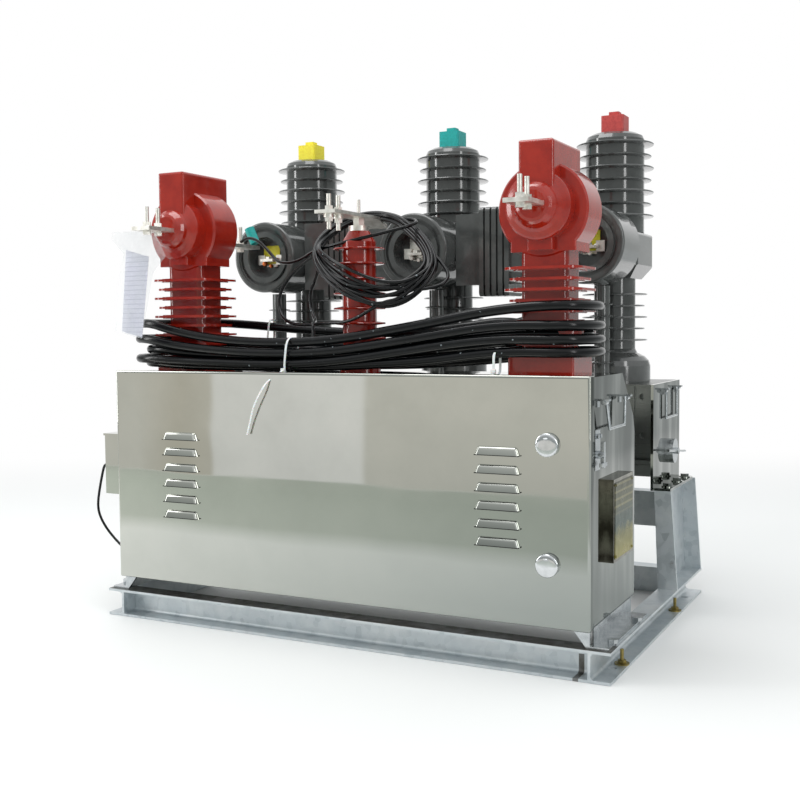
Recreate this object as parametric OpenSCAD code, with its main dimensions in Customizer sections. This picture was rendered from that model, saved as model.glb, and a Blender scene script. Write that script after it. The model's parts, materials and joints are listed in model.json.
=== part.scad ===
// Pole-mounted vacuum circuit breaker with a metering box, on one galvanised channel frame.
// Millimetres. X runs along the front, Y from front to back, Z up.
// The origin is the centre of the four holes in the underside of the base frame.

/* [Base frame] */
// Overall length of the base frame
base_width = 976; // [970:1:990]
// Depth of the base frame from front to back
base_depth = 646; // [640:2:680]
// Height of the steel channel
channel_height = 50; // [44:1:56]
// Flange width of the steel channel
channel_flange = 36; // [32:1:40]
// Web thickness of the steel channel
channel_web = 4.5; // [4:0.5:6]

/* [Metering box] */
// Width of the door that covers the front of the metering box
door_width = 914; // [900:1:920]
// Height of the door
door_height = 388; // [380:1:390]
// Depth of the metering box at its floor
box_depth = 255; // [250:1:300]
// Thickness of the box sheet
sheet = 2; // [1.5:0.5:3]
// Number of louvres in each row
louvre_count = 6; // [3:1:6]

/* [Breaker] */
// Distance between the poles
phase_spacing = 345; // [330:1:360]
// Distance from the front of the frame to the pole axes
pole_y = 530; // [528:1:534]
// Radius of the insulator core above the pole heads
upper_core_r = 56; // [45:1:56]
// Radius of the insulator core below the pole heads
lower_core_r = 40; // [30:1:44]
// Radius of the outlet drum on each pole head
drum_r = 73; // [70:1:74]

/* [Current transformers] */
// Distance from the centre to each current transformer
ct_x = 355; // [350:1:356]
// Radius of the cast ring of each current transformer
ct_ring_r = 75; // [60:1:80]
// Width of the cast block through the ring
ct_block_width = 58; // [40:1:70]

/* [Output] */
// Sub-part to show

/* [Hidden] */
$fn = 64;

galvanised = "LightSteelBlue";
stainless = "Silver";
epoxy_red = "FireBrick";
insulator_grey = "DimGray";
tinned = "Gainsboro";
cable_black = "#202020";

// Base frame and columns
rail_top = channel_height;
rail_inner_x = base_width / 2 - channel_flange;
rail_fillet = 6;
mount_x = 470;
mount_y = 250;
mount_hole_r = 7;
column_front = 433;
column_depth = 210;
column_plate = 5;
column_top = 233;
column_web_lean = 7.5;
column_tip_lean = 13;
cross_front = 600;
cross_low = 134;
cross_step = 172;
cross_high = 206;

// Metering box and its door
door_bottom = 77;
door_half = door_width / 2;
door_top = door_bottom + door_height;
door_return = 20;
door_play = 0.5;
body_half = door_half - sheet - door_play;
body_low = door_bottom + sheet + door_play;
body_high = door_top - sheet - door_play;
body_lip = 22;
box_top_depth = 180;
hinge_x = -door_half - 3.5;
hinge_y = door_return - sheet;
hinge_pin_r = 1.5;
hinge_knuckle_r = 3;

// Current transformers and centre post
ct_y = 111;
ct_ring_z = 724;
ct_ring_depth = 74;
ct_ring_edge = 3;
ct_disc_r = 54;
ct_disc_depth = 118;
ct_web = [42, 102];
ct_collar_low = 658;
ct_collar_high = 676;
ct_block_top = 829.5;
ct_block_depth = 138;
ct_core = [79, 69];
ct_boss_length = 27;
ct_plate = [41, 69, 7];
post_x = 3;
post_top = 709;

// Breaker
mech_half = 438;
mech_front = 431;
mech_back = 641;
mech_low = 259;
mech_top = 430;
end_plate = 5;
end_face = mech_half + end_plate;
hub_y = 547;
hub_z = 296.5;
hub_length = 14;
shaft_r = 6;
lever_x = 460;

// Poles
pole_shift = -4;
drum_z = 688;
drum_front = 334;
drum_back = 440;
drum_recess_r = 42;
drum_recess_depth = 36;
drum_face_r = 62;
drum_groove = [53, 59];
head_half = 60;
head_high = 718;
head_shoulder = 655;
head_low = 630;
upper_top = 910;
thin_post_y = 445;

// Lifting bails: [x, first pivot y, second pivot y, pivot z, bottom y pair, bottom z]
box_bail = [466, 42, 163, 424, [68, 150], 381];
mech_bail = [448, 499, 603, 416, [508, 594], 363];
bail_r = 2.5;
lug_length = 12;

// Cables
hank_size = [915, 174];
hank_thickness = 19;
hank_corner = 60;
hank_x = -14.5;
hank_low = body_high + 0.5;
hank_top = [[-473, 572], [-200, 540], [-60, 545], [440, 598]];
hank_r = 8.25;
gland_length = 20;
box_gland = [-400, box_depth, 330];
mech_gland = [300, mech_front, 380];
box_lead_route = [
    [-400, 276, 330], [-400, 305, 332], [-400, 336, 350], [-400, 348, 388], [-399, 342, 430],
    [-397, 318, 465], [-392, 282, 484], [-380, 246, 486], [-360, 216, 480], [-345, 207.5, 476]
];
mech_lead_route = [
    [300, 411, 380], [300, 384, 382], [300, 352, 400], [300, 322, 430], [299, 295, 468],
    [295, 270, 504], [286, 246, 530], [268, 224, 545], [240, 212, 548], [215, 208, 548]
];
coil_centre = [25, 128, 652];
coil_r = 108;
coil_bundle_r = 13;
coil_tilt = 40;
coil_strand_r = 3;
coil_start_route = [
    [-336, 236, 713], [-312, 228, 720], [-272, 210, 708], [-232, 190, 680], [-198, 165, 664],
    [-160, 150, 662], [-128, 144, 667], [-97, 141, 672]
];
coil_end_route = [
    [-92, 118, 627], [-101, 118, 610], [-102, 116, 588], [-92, 108, 566], [-76, 90, 552], [-62, 60, 550]
];
lead_r = 2.5;
lead_route = [
    [-534.2, 60, 277], [-545, 60.2, 276.5], [-556, 64, 256], [-573, 70, 208], [-573, 70, 180],
    [-560, 70, 156], [-540, 69, 136], [-515, 66, 119], [-490, 61, 109], [-466.6, 60, 108]
];

// ---------- helpers ----------

// Moves a piece from the front plane of the frame to the origin in its middle.
module at_front() {
    translate([0, -base_depth / 2, 0]) children();
}

module at_pole(n) {
    at_front() translate([n * phase_spacing + pole_shift, pole_y, 0]) children();
}

module both_sides() {
    for (side = [0, 1]) mirror([side, 0, 0]) children();
}

// A rectangle with true round corners, centred.
module round_rect(w, d, r) {
    square([w - 2 * r, d], center = true);
    square([w, d - 2 * r], center = true);
    for (x = [-1, 1], y = [-1, 1])
        translate([x * (w / 2 - r), y * (d / 2 - r)]) circle(r = r);
}

module slab(w, d, r, z0, z1) {
    translate([0, 0, z0]) linear_extrude(z1 - z0) round_rect(w, d, r);
}

// Extrudes an outline drawn in the Y-Z plane along X, centred on X = 0.
module along_x(length) {
    rotate([90, 0, 90]) linear_extrude(length, center = true) children();
}

// Extrudes an outline drawn in the X-Z plane along Y, from y0 to y1.
module along_y(y0, y1) {
    translate([0, y1, 0]) rotate([90, 0, 0]) linear_extrude(y1 - y0) children();
}

// A rolled channel section: web upright at the left, flanges to the right.
module channel_section(height, flange, web) {
    difference() {
        square([flange, height]);
        translate([web + rail_fillet, web]) square([flange, height - 2 * web]);
        translate([web, web + rail_fillet]) square([flange, height - 2 * web - 2 * rail_fillet]);
        for (y = [web + rail_fillet, height - web - rail_fillet])
            translate([web + rail_fillet, y]) circle(r = rail_fillet);
    }
}

// Outline points of a row of sheds on a core. Each shed is [height, radius].
function shed_points(sheds, core, t) = [
    for (s = sheds) each [
        [core, s[0] - t], [s[1] - 1, s[0] - t * 0.45], [s[1], s[0]], [s[1] - 1, s[0] + t * 0.35],
        [core, s[0] + t * 1.1]
    ]
];

module turned(points) {
    rotate_extrude() polygon(points);
}

module hex_head(across_corners_r, height) {
    cylinder(r = across_corners_r, h = height, $fn = 6);
}

// A round bar between two points of one Y-Z plane.
module bar_between(a, b, r) {
    d = b - a;
    translate(a) rotate([-atan2(d[1], d[2]), 0, 0]) cylinder(r = r, h = norm(d));
}

// ---------- base frame ----------

module front_and_rear_rails() {
    color(galvanised) at_front() {
        translate([0, channel_flange, 0]) mirror([0, 1, 0]) long_rail();
        translate([0, base_depth - channel_flange, 0]) long_rail();
    }
}

module long_rail() {
    along_x(2 * rail_inner_x) channel_section(channel_height, channel_flange, channel_web);
}

module side_rails() {
    color(galvanised) both_sides() difference() {
        translate([rail_inner_x, base_depth / 2, 0]) rotate([90, 0, 0])
            linear_extrude(base_depth) channel_section(channel_height, channel_flange, channel_web);
        for (y = [-mount_y, mount_y])
            translate([mount_x, y, -1]) cylinder(r = mount_hole_r, h = channel_web + 2);
    }
}

// One face of a column, in plan from y0 to y1. It leans inwards towards the top.
module lean_plate(bottom, top, y0, y1) {
    along_y(y0, y1) polygon([
        [bottom[0], rail_top], [bottom[1], rail_top], [top[1], column_top], [top[0], column_top]
    ]);
}

module columns() {
    web = rail_inner_x;
    tip = base_width / 2;
    web_top = web - column_web_lean;
    tip_top = tip - column_tip_lean;
    back = column_front + column_depth;
    color(galvanised) at_front() both_sides() {
        lean_plate([web, web + column_plate], [web_top, web_top + column_plate], column_front, back);
        lean_plate([web, tip], [web_top, tip_top], column_front, column_front + column_plate);
        lean_plate([web, tip], [web_top, tip_top], back - column_plate, back);
    }
}

// A folded rail between the columns, with its lower face set back.
module cross_rail() {
    t = 4;
    set_back = 12;
    lean = column_web_lean / (column_top - rail_top);
    half_low = rail_inner_x - lean * (cross_low - rail_top);
    half_high = rail_inner_x - lean * (cross_high - rail_top);
    color(galvanised) at_front() intersection() {
        along_x(2 * rail_inner_x) polygon([
            [cross_front, cross_step], [cross_front, cross_high], [cross_front + 36, cross_high],
            [cross_front + 36, cross_high - t], [cross_front + t, cross_high - t],
            [cross_front + t, cross_step + t], [cross_front + set_back + t, cross_step + t],
            [cross_front + set_back + t, cross_low], [cross_front + set_back, cross_low],
            [cross_front + set_back, cross_step]
        ]);
        along_y(cross_front - 1, cross_front + 40) polygon([
            [-half_low, cross_low], [half_low, cross_low],
            [half_high, cross_high], [-half_high, cross_high]
        ]);
    }
}

module base_bolts() {
    color("Goldenrod") at_front() both_sides()
        for (y = [101, 463])
            translate([477, y, channel_web]) {
                cylinder(r = 12, h = 2);
                cylinder(r = 3, h = 24);
                translate([0, 0, 2]) hex_head(7, 5);
            }
}

// ---------- metering box ----------

// Side outline of the box: upright front, sloping shoulder at the rear.
module box_profile(inset) {
    i = inset;
    polygon([
        [i, body_low + i], [box_depth - i, body_low + i], [box_depth - i, 360],
        [box_depth - 8 - i, 388 - i * 0.4], [box_top_depth - i * 0.6, body_high - i], [i, body_high - i]
    ]);
}

// The folded wrap of floor, back, shoulder and roof, open at the front and at both ends.
module box_body() {
    inner_half = body_half - sheet;
    color(stainless) at_front() {
        difference() {
            translate([0, door_play, 0]) along_x(2 * inner_half) box_profile(0);
            translate([0, door_play, 0]) along_x(2 * body_half) box_profile(sheet);
            translate([-body_half, -1, body_low - 1])
                cube([2 * body_half, 1 + door_play + sheet, body_high - body_low + 2]);
        }
        translate([box_gland[0], box_depth, box_gland[2]]) rotate([-90, 0, 0]) gland();
    }
}

// The two flat end plates; the cable of the side terminal box enters the left one.
module box_ends() {
    color(stainless) at_front() {
        for (x = [-body_half, body_half - sheet])
            intersection() {
                translate([0, door_play, 0]) along_x(2 * body_half) box_profile(0);
                translate([x, door_play + sheet, 0]) cube([sheet, box_depth, body_high + 10]);
            }
        translate([-body_half, 60, 108]) rotate([0, -90, 0]) cylinder(r = 6, h = 12);
    }
}

// The frame round the door opening, behind the door's edge.
module box_front_frame() {
    open_half = body_half - body_lip;
    color(stainless) at_front() difference() {
        translate([-body_half, door_play, body_low]) cube([2 * body_half, sheet, body_high - body_low]);
        translate([-open_half, -1, body_low + body_lip])
            cube([2 * open_half, sheet + 3, body_high - body_low - 2 * body_lip]);
    }
}

module box_feet() {
    foot_w = channel_flange - 6;
    foot_back = 233;
    inner = rail_inner_x + 1;
    color(stainless) at_front() both_sides() {
        difference() {
            translate([inner, 8, rail_top]) cube([foot_w, foot_back - 8, 4]);
            for (y = [42, 183]) translate([479, y, rail_top - 1]) cylinder(r = 5, h = 6);
        }
        translate([inner, door_return + 2, rail_top]) cube([2.4, foot_back - door_return - 2, body_low - rail_top]);
        for (p = [[8, door_bottom - 2.5], [foot_back - 4, body_low]])
            along_y(p[0], p[0] + 4)
                polygon([[428, p[1]], [inner, p[1]], [inner, rail_top], [inner - 5, rail_top]]);
        for (y = [42, 183]) translate([479, y, rail_top + 4]) hex_head(8, 6);
    }
}

// One pressed louvre: a hood that is closed at its top and ends, and open along its lower edge.
// Its lower edge is at height 0 and it stands out towards -Y.
module louvre_form(half_low, half_high, height, out) {
    intersection() {
        along_x(2 * half_low + 2) polygon([
            [1, 0], [-out, 0], [-out, height * 0.3], [-out * 0.72, height * 0.75], [-out * 0.3, height],
            [1, height]
        ]);
        along_y(-out - 1, 2) polygon([
            [-half_low, 0], [half_low, 0], [half_low - 2, height * 0.35], [half_high + 1, height],
            [-half_high - 1, height], [-half_low + 2, height * 0.35]
        ]);
        linear_extrude(height) polygon([
            [-half_low, 2], [half_low, 2], [half_low, 0], [half_low - 5, -out],
            [-half_low + 5, -out], [-half_low, 0]
        ]);
    }
}

// A cable gland, standing on its wall: hexagon and dome.
module gland() {
    hex_head(14, 8);
    cylinder(r = 11.5, h = gland_length);
}

module at_louvres() {
    for (x = [-308.5, 305], n = [0 : louvre_count - 1])
        translate([x, -sheet, 340 - 28.5 * n]) children();
}

module front_door() {
    color(stainless) at_front() difference() {
        union() {
            translate([-door_half, -sheet, door_bottom]) cube([door_width, sheet, door_height]);
            at_louvres() louvre_form(42, 28, 15, 9);
        }
        at_louvres() translate([-34, -6.6, -1]) cube([68, 6.6 + sheet + 1, 9]);
    }
}

// The door's four folded edges, open at the corners, with the hinge knuckles and the lock's button.
module door_returns() {
    corner_gap = 0.5;
    depth = door_return - sheet;
    color(stainless) at_front() {
        for (x = [-door_half, door_half - sheet])
            translate([x, 0, door_bottom]) cube([sheet, depth, door_height]);
        for (z = [door_bottom, door_top - sheet])
            translate([-door_half + sheet + corner_gap, 0, z])
                cube([door_width - 2 * (sheet + corner_gap), depth, sheet]);
        for (z = [120, 400]) difference() {
            union() {
                translate([hinge_x, hinge_y, z]) cylinder(r = hinge_knuckle_r, h = 30);
                translate([hinge_x, hinge_y - 5, z]) cube([4.5, 4, 30]);
            }
            translate([hinge_x, hinge_y, z - 1]) cylinder(r = hinge_pin_r + 0.05, h = 32);
        }
        translate([door_half, 10, 267]) rotate([0, 90, 0]) cylinder(r = 4, h = 3);
    }
}

module door_hinge() {
    leaf_x = hinge_x + 1;
    color(stainless) at_front() {
        translate([hinge_x, hinge_y, 95]) cylinder(r = hinge_pin_r, h = 350);
        for (z = [95, 156, 370, 436])
            difference() {
                union() {
                    translate([hinge_x, hinge_y, z]) cylinder(r = hinge_knuckle_r, h = 18);
                    translate([leaf_x, hinge_y + 1, z]) cube([-body_half - leaf_x, 2, 18]);
                    translate([-body_half - sheet, hinge_y + 1, z]) cube([sheet, 22, 18]);
                }
                translate([hinge_x, hinge_y, z - 1]) cylinder(r = hinge_pin_r, h = 20);
            }
    }
}

// Round covers that swing over the two locks.
module lock_covers() {
    color("WhiteSmoke") at_front()
        for (z = [360, 175])
            translate([390, -sheet, z]) rotate([90, 0, 0]) difference() {
                union() {
                    cylinder(r = 16, h = 3);
                    translate([0, 0, 3]) cylinder(r = 18, h = 4);
                    translate([0, 0, 7]) cylinder(r1 = 18, r2 = 15.5, h = 1.5);
                    translate([4, 14, 0]) cylinder(r = 5, h = 8.5);
                }
                translate([-1.5, 9, 7.5]) cube([3, 9, 2]);
            }
}

// A turn latch with its seal loop, behind the edge of the door.
module draw_latch() {
    x = body_half;
    color(stainless) at_front() {
        translate([x, 24, 320]) cube([2, 26, 62]);
        translate([x + 1, 37, 344]) rotate([0, 90, 0]) cylinder(r = 6, h = 12);
        translate([x + 8, 33, 324]) cube([5, 8, 40]);
        translate([x + 8, 24, 326]) cube([5, 26, 6]);
        translate([x + 1, 30, 372]) rotate([0, 90, 0]) cylinder(r = 3.5, h = 5);
        translate([x + 1, 44, 372]) rotate([0, 90, 0]) cylinder(r = 3.5, h = 5);
    }
}

// A shallow tray that holds the rating plate off the side of the box.
module plate_bracket() {
    x = body_half;
    face = 467;
    color("DimGray") at_front() difference() {
        translate([x, 88, 167]) cube([face - x, 113, 132]);
        translate([x - 1, 90, 166]) cube([face - sheet + 1 - x, 112, 131]);
    }
}

module rating_plate() {
    color("DarkKhaki") at_front() {
        translate([467, 94, 172]) cube([1, 102, 121]);
        for (y = [98, 192], z = [176, 289])
            translate([467.5, y, z]) rotate([0, 90, 0]) cylinder(r = 2, h = 1.7);
    }
}

module side_terminal_box() {
    color(stainless) at_front() {
        translate([-516, 30, 226]) cube([516 - body_half, 80, 114]);
        translate([-518, 28, 338]) cube([518 - body_half, 84, 4]);
        translate([-515, 60, 277]) rotate([0, -90, 0]) {
            hex_head(9, 6);
            cylinder(r = 6, h = 19);
        }
    }
}

// An eye for one leg of a bail: a sleeve under a small tab on the wall at x0.
module lug(bail, x0, y) {
    x = bail[0];
    z = bail[3];
    difference() {
        union() {
            translate([x, y - lug_length / 2, z]) rotate([-90, 0, 0]) cylinder(r = 4.6, h = lug_length);
            translate([x0, y - lug_length / 2, z + 1.6]) cube([x + 8 - x0, lug_length, 3]);
            translate([x0, y - lug_length / 2, z - 8]) cube([1.6, lug_length, 12]);
        }
        translate([x, y - lug_length, z]) rotate([-90, 0, 0]) cylinder(r = bail_r + 0.1, h = 2 * lug_length);
    }
}

module lifting_lugs() {
    color(stainless) at_front() both_sides() {
        for (y = [box_bail[1], box_bail[2]]) lug(box_bail, body_half, y);
        for (y = [mech_bail[1], mech_bail[2]]) lug(mech_bail, end_face, y);
    }
}

// A bail of bent rod: a stub through each lug, two legs and the grip. The bends are a little fuller.
module bail(b) {
    stub = lug_length / 2 + 3;
    corners = [
        [b[0], b[1] + stub, b[3]], [b[0], b[4][0], b[5]], [b[0], b[4][1], b[5]], [b[0], b[2] - stub, b[3]]
    ];
    bar_between([b[0], b[1] - stub, b[3]], corners[0], bail_r);
    bar_between(corners[3], [b[0], b[2] + stub, b[3]], bail_r);
    for (i = [0 : 2]) bar_between(corners[i], corners[i + 1], bail_r);
    for (c = corners) translate(c) sphere(r = bail_r + 0.15);
}

module box_bail_right() {
    color("WhiteSmoke") at_front() bail(box_bail);
}

module mech_bail_right() {
    color("WhiteSmoke") at_front() bail(mech_bail);
}

module left_bails() {
    color("WhiteSmoke") at_front() mirror([1, 0, 0]) {
        bail(box_bail);
        bail(mech_bail);
    }
}

// ---------- current transformers ----------

// One shed of the rectangular post, standing out from the core by the given overhang.
module ct_shed(overhang, z) {
    for (p = [[1, 2], [0.5, 3.5]]) {
        o = overhang * p[0];
        slab(ct_core[0] + 2 * o, ct_core[1] + 2 * o, 12 + 0.6 * o, z - p[1], z + p[1]);
    }
}

// One end of the winding: a dished disc that runs out into the boss of the terminal.
module ct_boss() {
    turned([
        [0, -1], [ct_disc_r, -1], [ct_disc_r, 0.5], [53, 2.5], [50, 4], [42, 7], [36.5, 10],
        [34.5, 16], [31, 21], [27, 25], [22, ct_boss_length], [0, ct_boss_length]
    ]);
}

module ct_ring() {
    e = ct_ring_edge;
    turned([
        [0, 0], [ct_ring_r - e, 0], [ct_ring_r, e], [ct_ring_r, ct_ring_depth - e],
        [ct_ring_r - e, ct_ring_depth], [0, ct_ring_depth]
    ]);
}

// The upright block: it stands on the axis of the winding and is rounded at its top and corners.
module ct_block() {
    low = 2 * ct_ring_z - ct_block_top;
    height = ct_block_top - low;
    intersection() {
        slab(ct_block_width, ct_block_depth, 5, ct_ring_z, ct_block_top);
        translate([0, 0, ct_ring_z]) along_x(ct_block_width) round_rect(ct_block_depth, height, 5);
        translate([0, 0, ct_ring_z]) along_y(-ct_block_depth / 2, ct_block_depth / 2)
            round_rect(ct_block_width, height, 5);
    }
}

// The cast body about its own axis, front to -Y.
module ct_casting(boss_z) {
    slab(110, 100, 4, body_high, 491);
    slab(ct_core[0], ct_core[1], 12, 490, ct_collar_low + 1);
    for (n = [0 : 7]) ct_shed(n % 2 == 0 ? 25 : 18, 632 - 17 * n);
    slab(109, ct_ring_depth, 3, ct_collar_low, ct_collar_high);
    slab(ct_web[0], ct_web[1], 3, ct_collar_low + 2, ct_ring_z);
    translate([0, ct_ring_depth / 2, ct_ring_z]) rotate([90, 0, 0]) ct_ring();
    translate([0, 0, boss_z]) rotate([90, 0, 0]) cylinder(r = ct_disc_r, h = ct_disc_depth, center = true);
    ct_block();
    for (s = [-1, 1]) translate([0, s * ct_disc_depth / 2, boss_z]) rotate([-s * 90, 0, 0]) ct_boss();
}

module ct_left() {
    color(epoxy_red) at_front() translate([-ct_x, ct_y, 0]) ct_casting(724);
}

module ct_right() {
    color(epoxy_red) at_front() translate([ct_x, ct_y, 0]) ct_casting(728);
}

// A flat terminal with two studs. It starts at y = 0 and runs towards -Y, its top at z = 0.
module ct_terminal(length, studs, stud_top) {
    translate([-ct_plate[0] / 2, -length, -ct_plate[2]]) cube([ct_plate[0], length, ct_plate[2]]);
    for (y = studs) translate([0, y, 0]) {
        translate([0, 0, -ct_plate[2] - 7]) {
            cylinder(r = 4, h = stud_top + ct_plate[2] + 7);
            hex_head(7.5, 7.5);
        }
        cylinder(r = 9, h = 1.6);
        translate([0, 0, 1.6]) hex_head(7.5, 7);
    }
}

module ct_terminals() {
    front = ct_y - ct_disc_depth / 2 - ct_boss_length;
    back = ct_y + ct_disc_depth / 2 + ct_boss_length;
    color(tinned) at_front() {
        for (p = [[-ct_x, 724], [ct_x, 731.5]]) {
            translate([p[0], front, p[1]]) ct_terminal(ct_plate[1], [-51, -20], 36);
            translate([p[0], back, p[1] - 15]) rotate([0, 0, 180]) ct_terminal(103, [-30, -64], 36);
        }
    }
}

// A soft cap that leans on the end of the rear terminal.
module ct_terminal_cap() {
    color("Turquoise") at_front() translate([-338, 289, 713.4]) rotate([0, -25, 0]) cylinder(r = 10, h = 34);
}

// ---------- centre post ----------

module centre_post() {
    sheds = [for (n = [0 : 7]) [496 + 26 * n, 46]];
    color(epoxy_red) at_front() translate([post_x, ct_y, 0]) turned(concat(
        [[0, body_high], [36, body_high], [36, 478], [30, 483]],
        shed_points(sheds, 30, 3.5),
        [[30, 690], [18.5, post_top], [0, post_top]]
    ));
}

// Flange, nut and stud on the post, with the busbar and its two studs.
module centre_terminal() {
    bar_low = 731;
    bar_t = 6;
    color(tinned) at_front() translate([post_x, 0, 0]) {
        translate([0, ct_y, post_top]) {
            cylinder(r = 18, h = 9);
            translate([0, 0, 9]) hex_head(11, 14);
            cylinder(r = 3, h = 55);
        }
        along_x(40) polygon([
            [-5, bar_low], [-5, bar_low + bar_t], [151, bar_low + bar_t], [180, bar_low - 6],
            [180, bar_low - 6 - bar_t * 1.1], [150, bar_low]
        ]);
        for (y = [9, 40]) translate([0, y, 705]) {
            cylinder(r = 4, h = 59);
            for (z = [13, 32]) translate([0, 0, z]) hex_head(7.5, 7);
            translate([0, 0, 20]) cylinder(r = 9, h = 6.5);
        }
    }
}

// ---------- breaker mechanism ----------

module mechanism_case() {
    color("Gray") at_front() difference() {
        translate([-mech_half, mech_front + 1, mech_low])
            cube([2 * mech_half, mech_back - mech_front - 2, mech_top - mech_low]);
        translate([-mech_half - 1, mech_front, 288.5]) cube([2 * mech_half + 2, 24, 24.5]);
        translate([-mech_half - 1, mech_front, 280]) cube([2 * mech_half + 2, 5, 9]);
        both_sides() {
            translate([407, mech_front, 318]) cube([30, 4, 109]);
            for (z = [334.8, 407.5])
                translate([421, mech_front + 15, z]) rotate([90, 0, 0]) cylinder(r = 5.5, h = 16);
        }
    }
    color("Gray") at_front() translate([mech_gland[0], mech_front + 1.5, mech_gland[2]])
        rotate([90, 0, 0]) gland();
}

module mech_ends() {
    foot_back = 635;
    color(stainless) at_front() both_sides() {
        translate([mech_half, mech_front, column_top])
            cube([end_plate, mech_back - mech_front, mech_top - column_top]);
        translate([mech_half + end_plate - 1, 435, column_top]) cube([32, foot_back - 15 - 435, 5]);
        translate([mech_half + end_plate - 1, 435, column_top]) cube([17, foot_back - 435, 5]);
        translate([459, foot_back - 15, column_top]) cylinder(r = 15, h = 5);
        for (p = [[462, 461], [462, 540], [462, 606]])
            translate([p[0], p[1], column_top + 5]) {
                cylinder(r = 10.5, h = 2);
                translate([0, 0, 2]) hex_head(8, 5);
            }
    }
}

module lever_hub() {
    color(stainless) at_front() translate([end_face, hub_y, hub_z]) rotate([0, 90, 0]) difference() {
        cylinder(r = 23.5, h = hub_length);
        translate([0, 0, 4]) cylinder(r = shaft_r + 0.1, h = hub_length);
    }
}

module operating_lever() {
    half_length = 70;
    tilt = 6;
    color("WhiteSmoke") at_front() translate([lever_x, hub_y, hub_z]) {
        translate([4.2 + end_face - lever_x, 0, 0]) rotate([0, 90, 0])
            cylinder(r = shaft_r, h = lever_x - end_face);
        rotate([90 - tilt, 0, 0]) cylinder(r = 2.25, h = 2 * half_length, center = true);
    }
}

// ---------- poles ----------

module lower_insulator() {
    sheds = [[512, 63], [534, 58], [556, 63], [578, 58], [600, 63]];
    turned(concat(
        [[0, mech_top], [69, mech_top], [69, 462], [66, 472], [58, 480], [44, 487], [lower_core_r, 495]],
        shed_points(sheds, lower_core_r, 3.5),
        [[lower_core_r, head_low], [0, head_low]]
    ));
}

// The slender post beside each lower insulator, below the drum.
module thin_post(shift) {
    sheds = [for (n = [0 : 5]) [470 + 22 * n, 24]];
    top = drum_z - drum_r - 0.3;
    translate([shift, thin_post_y - pole_y, 0]) turned(concat(
        [[0, mech_top], [15, mech_top]], shed_points(sheds, 15, 2.5), [[15, top], [0, top]]
    ));
}

module lower_insulator_a() {
    color(insulator_grey) at_pole(-1) {
        lower_insulator();
        thin_post(-35);
    }
}

module lower_insulator_b() {
    color(insulator_grey) at_pole(0) {
        lower_insulator();
        thin_post(0);
    }
}

module lower_insulator_c() {
    color(insulator_grey) at_pole(1) {
        lower_insulator();
        thin_post(0);
    }
}

// Side outline of the head: chamfered below, round edges above.
module head_profile() {
    edge = 8;
    polygon([
        [-42, head_low], [42, head_low], [head_half, head_shoulder], [head_half, head_high - edge],
        [head_half - edge, head_high], [edge - head_half, head_high], [-head_half, head_high - edge],
        [-head_half, head_shoulder]
    ]);
    for (s = [-1, 1]) translate([s * (head_half - edge), head_high - edge]) circle(r = edge);
}

// The outlet drum: round rim, flat ring and a deep round recess, open to the front.
module drum() {
    depth = drum_back - drum_front;
    rim = 5;
    rotate_extrude() difference() {
        union() {
            square([drum_r - rim, depth]);
            square([drum_r, depth - rim]);
            translate([drum_r - rim, depth - rim]) circle(r = rim);
        }
        translate([0, depth - drum_recess_depth]) square([drum_recess_r, drum_recess_depth + 1]);
        translate([0, depth - 3]) square([drum_face_r, 4]);
        translate([drum_groove[0], depth - 9]) square([drum_groove[1] - drum_groove[0], 10]);
        translate([-2 * rim, -1]) square([2 * rim, depth + 2]);
    }
}

module pole_head() {
    back = drum_back - pole_y;
    intersection() {
        slab(2 * head_half, 2 * head_half, 8, head_low, head_high);
        along_x(2 * head_half) head_profile();
        along_y(-head_half, head_half) head_profile();
    }
    intersection() {
        translate([0, back - 2, drum_z]) rotate([-90, 0, 0]) cylinder(r = 52, h = 34);
        translate([-60, back - 10, head_low]) cube([120, 60, head_high - 2 - head_low]);
    }
    translate([0, back, drum_z]) rotate([90, 0, 0]) drum();
}

module pole_head_a() {
    color(insulator_grey) at_pole(-1) pole_head();
}

module pole_head_b() {
    color(insulator_grey) at_pole(0) pole_head();
}

module pole_head_c() {
    color(insulator_grey) at_pole(1) pole_head();
}

module upper_insulator() {
    sheds = [for (n = [0 : 6]) [750 + 23 * n, n % 2 == 0 ? 74 : 69.5]];
    turned(concat(
        [[0, head_high], [upper_core_r, head_high]],
        shed_points(sheds, upper_core_r, 3.5),
        [[upper_core_r, 897], [53, 904], [44, 909], [0, upper_top]]
    ));
}

module upper_insulator_a() {
    color(insulator_grey) at_pole(-1) upper_insulator();
}

module upper_insulator_b() {
    color(insulator_grey) at_pole(0) upper_insulator();
}

module upper_insulator_c() {
    color(insulator_grey) at_pole(1) upper_insulator();
}

module phase_cap() {
    slab(44, 44, 4, upper_top, upper_top + 34);
    slab(20, 20, 2, upper_top + 33, upper_top + 42);
}

module phase_cap_a() {
    color("Yellow") at_pole(-1) phase_cap();
}

module phase_cap_b() {
    color("DarkTurquoise") at_pole(0) phase_cap();
}

module phase_cap_c() {
    color("IndianRed") at_pole(1) phase_cap();
}

// From the drum of one pole to the drum of the next, with a pack of ribs.
module bridge() {
    x0 = drum_r + 0.3;
    x1 = phase_spacing - drum_r - 0.3;
    rib_pitch = 13;
    rib_w = 9;
    translate([x0, 378, 620]) cube([x1 - x0, 58, 137]);
    for (n = [0 : 4])
        translate([125 + rib_pitch * n + rib_w / 2, 406, 683]) along_x(rib_w) round_rect(72, 170, 8);
}

module bridges() {
    color(insulator_grey) at_front() translate([pole_shift, 0, 0])
        for (n = [-1, 0]) translate([n * phase_spacing, 0, 0]) bridge();
}

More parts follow.
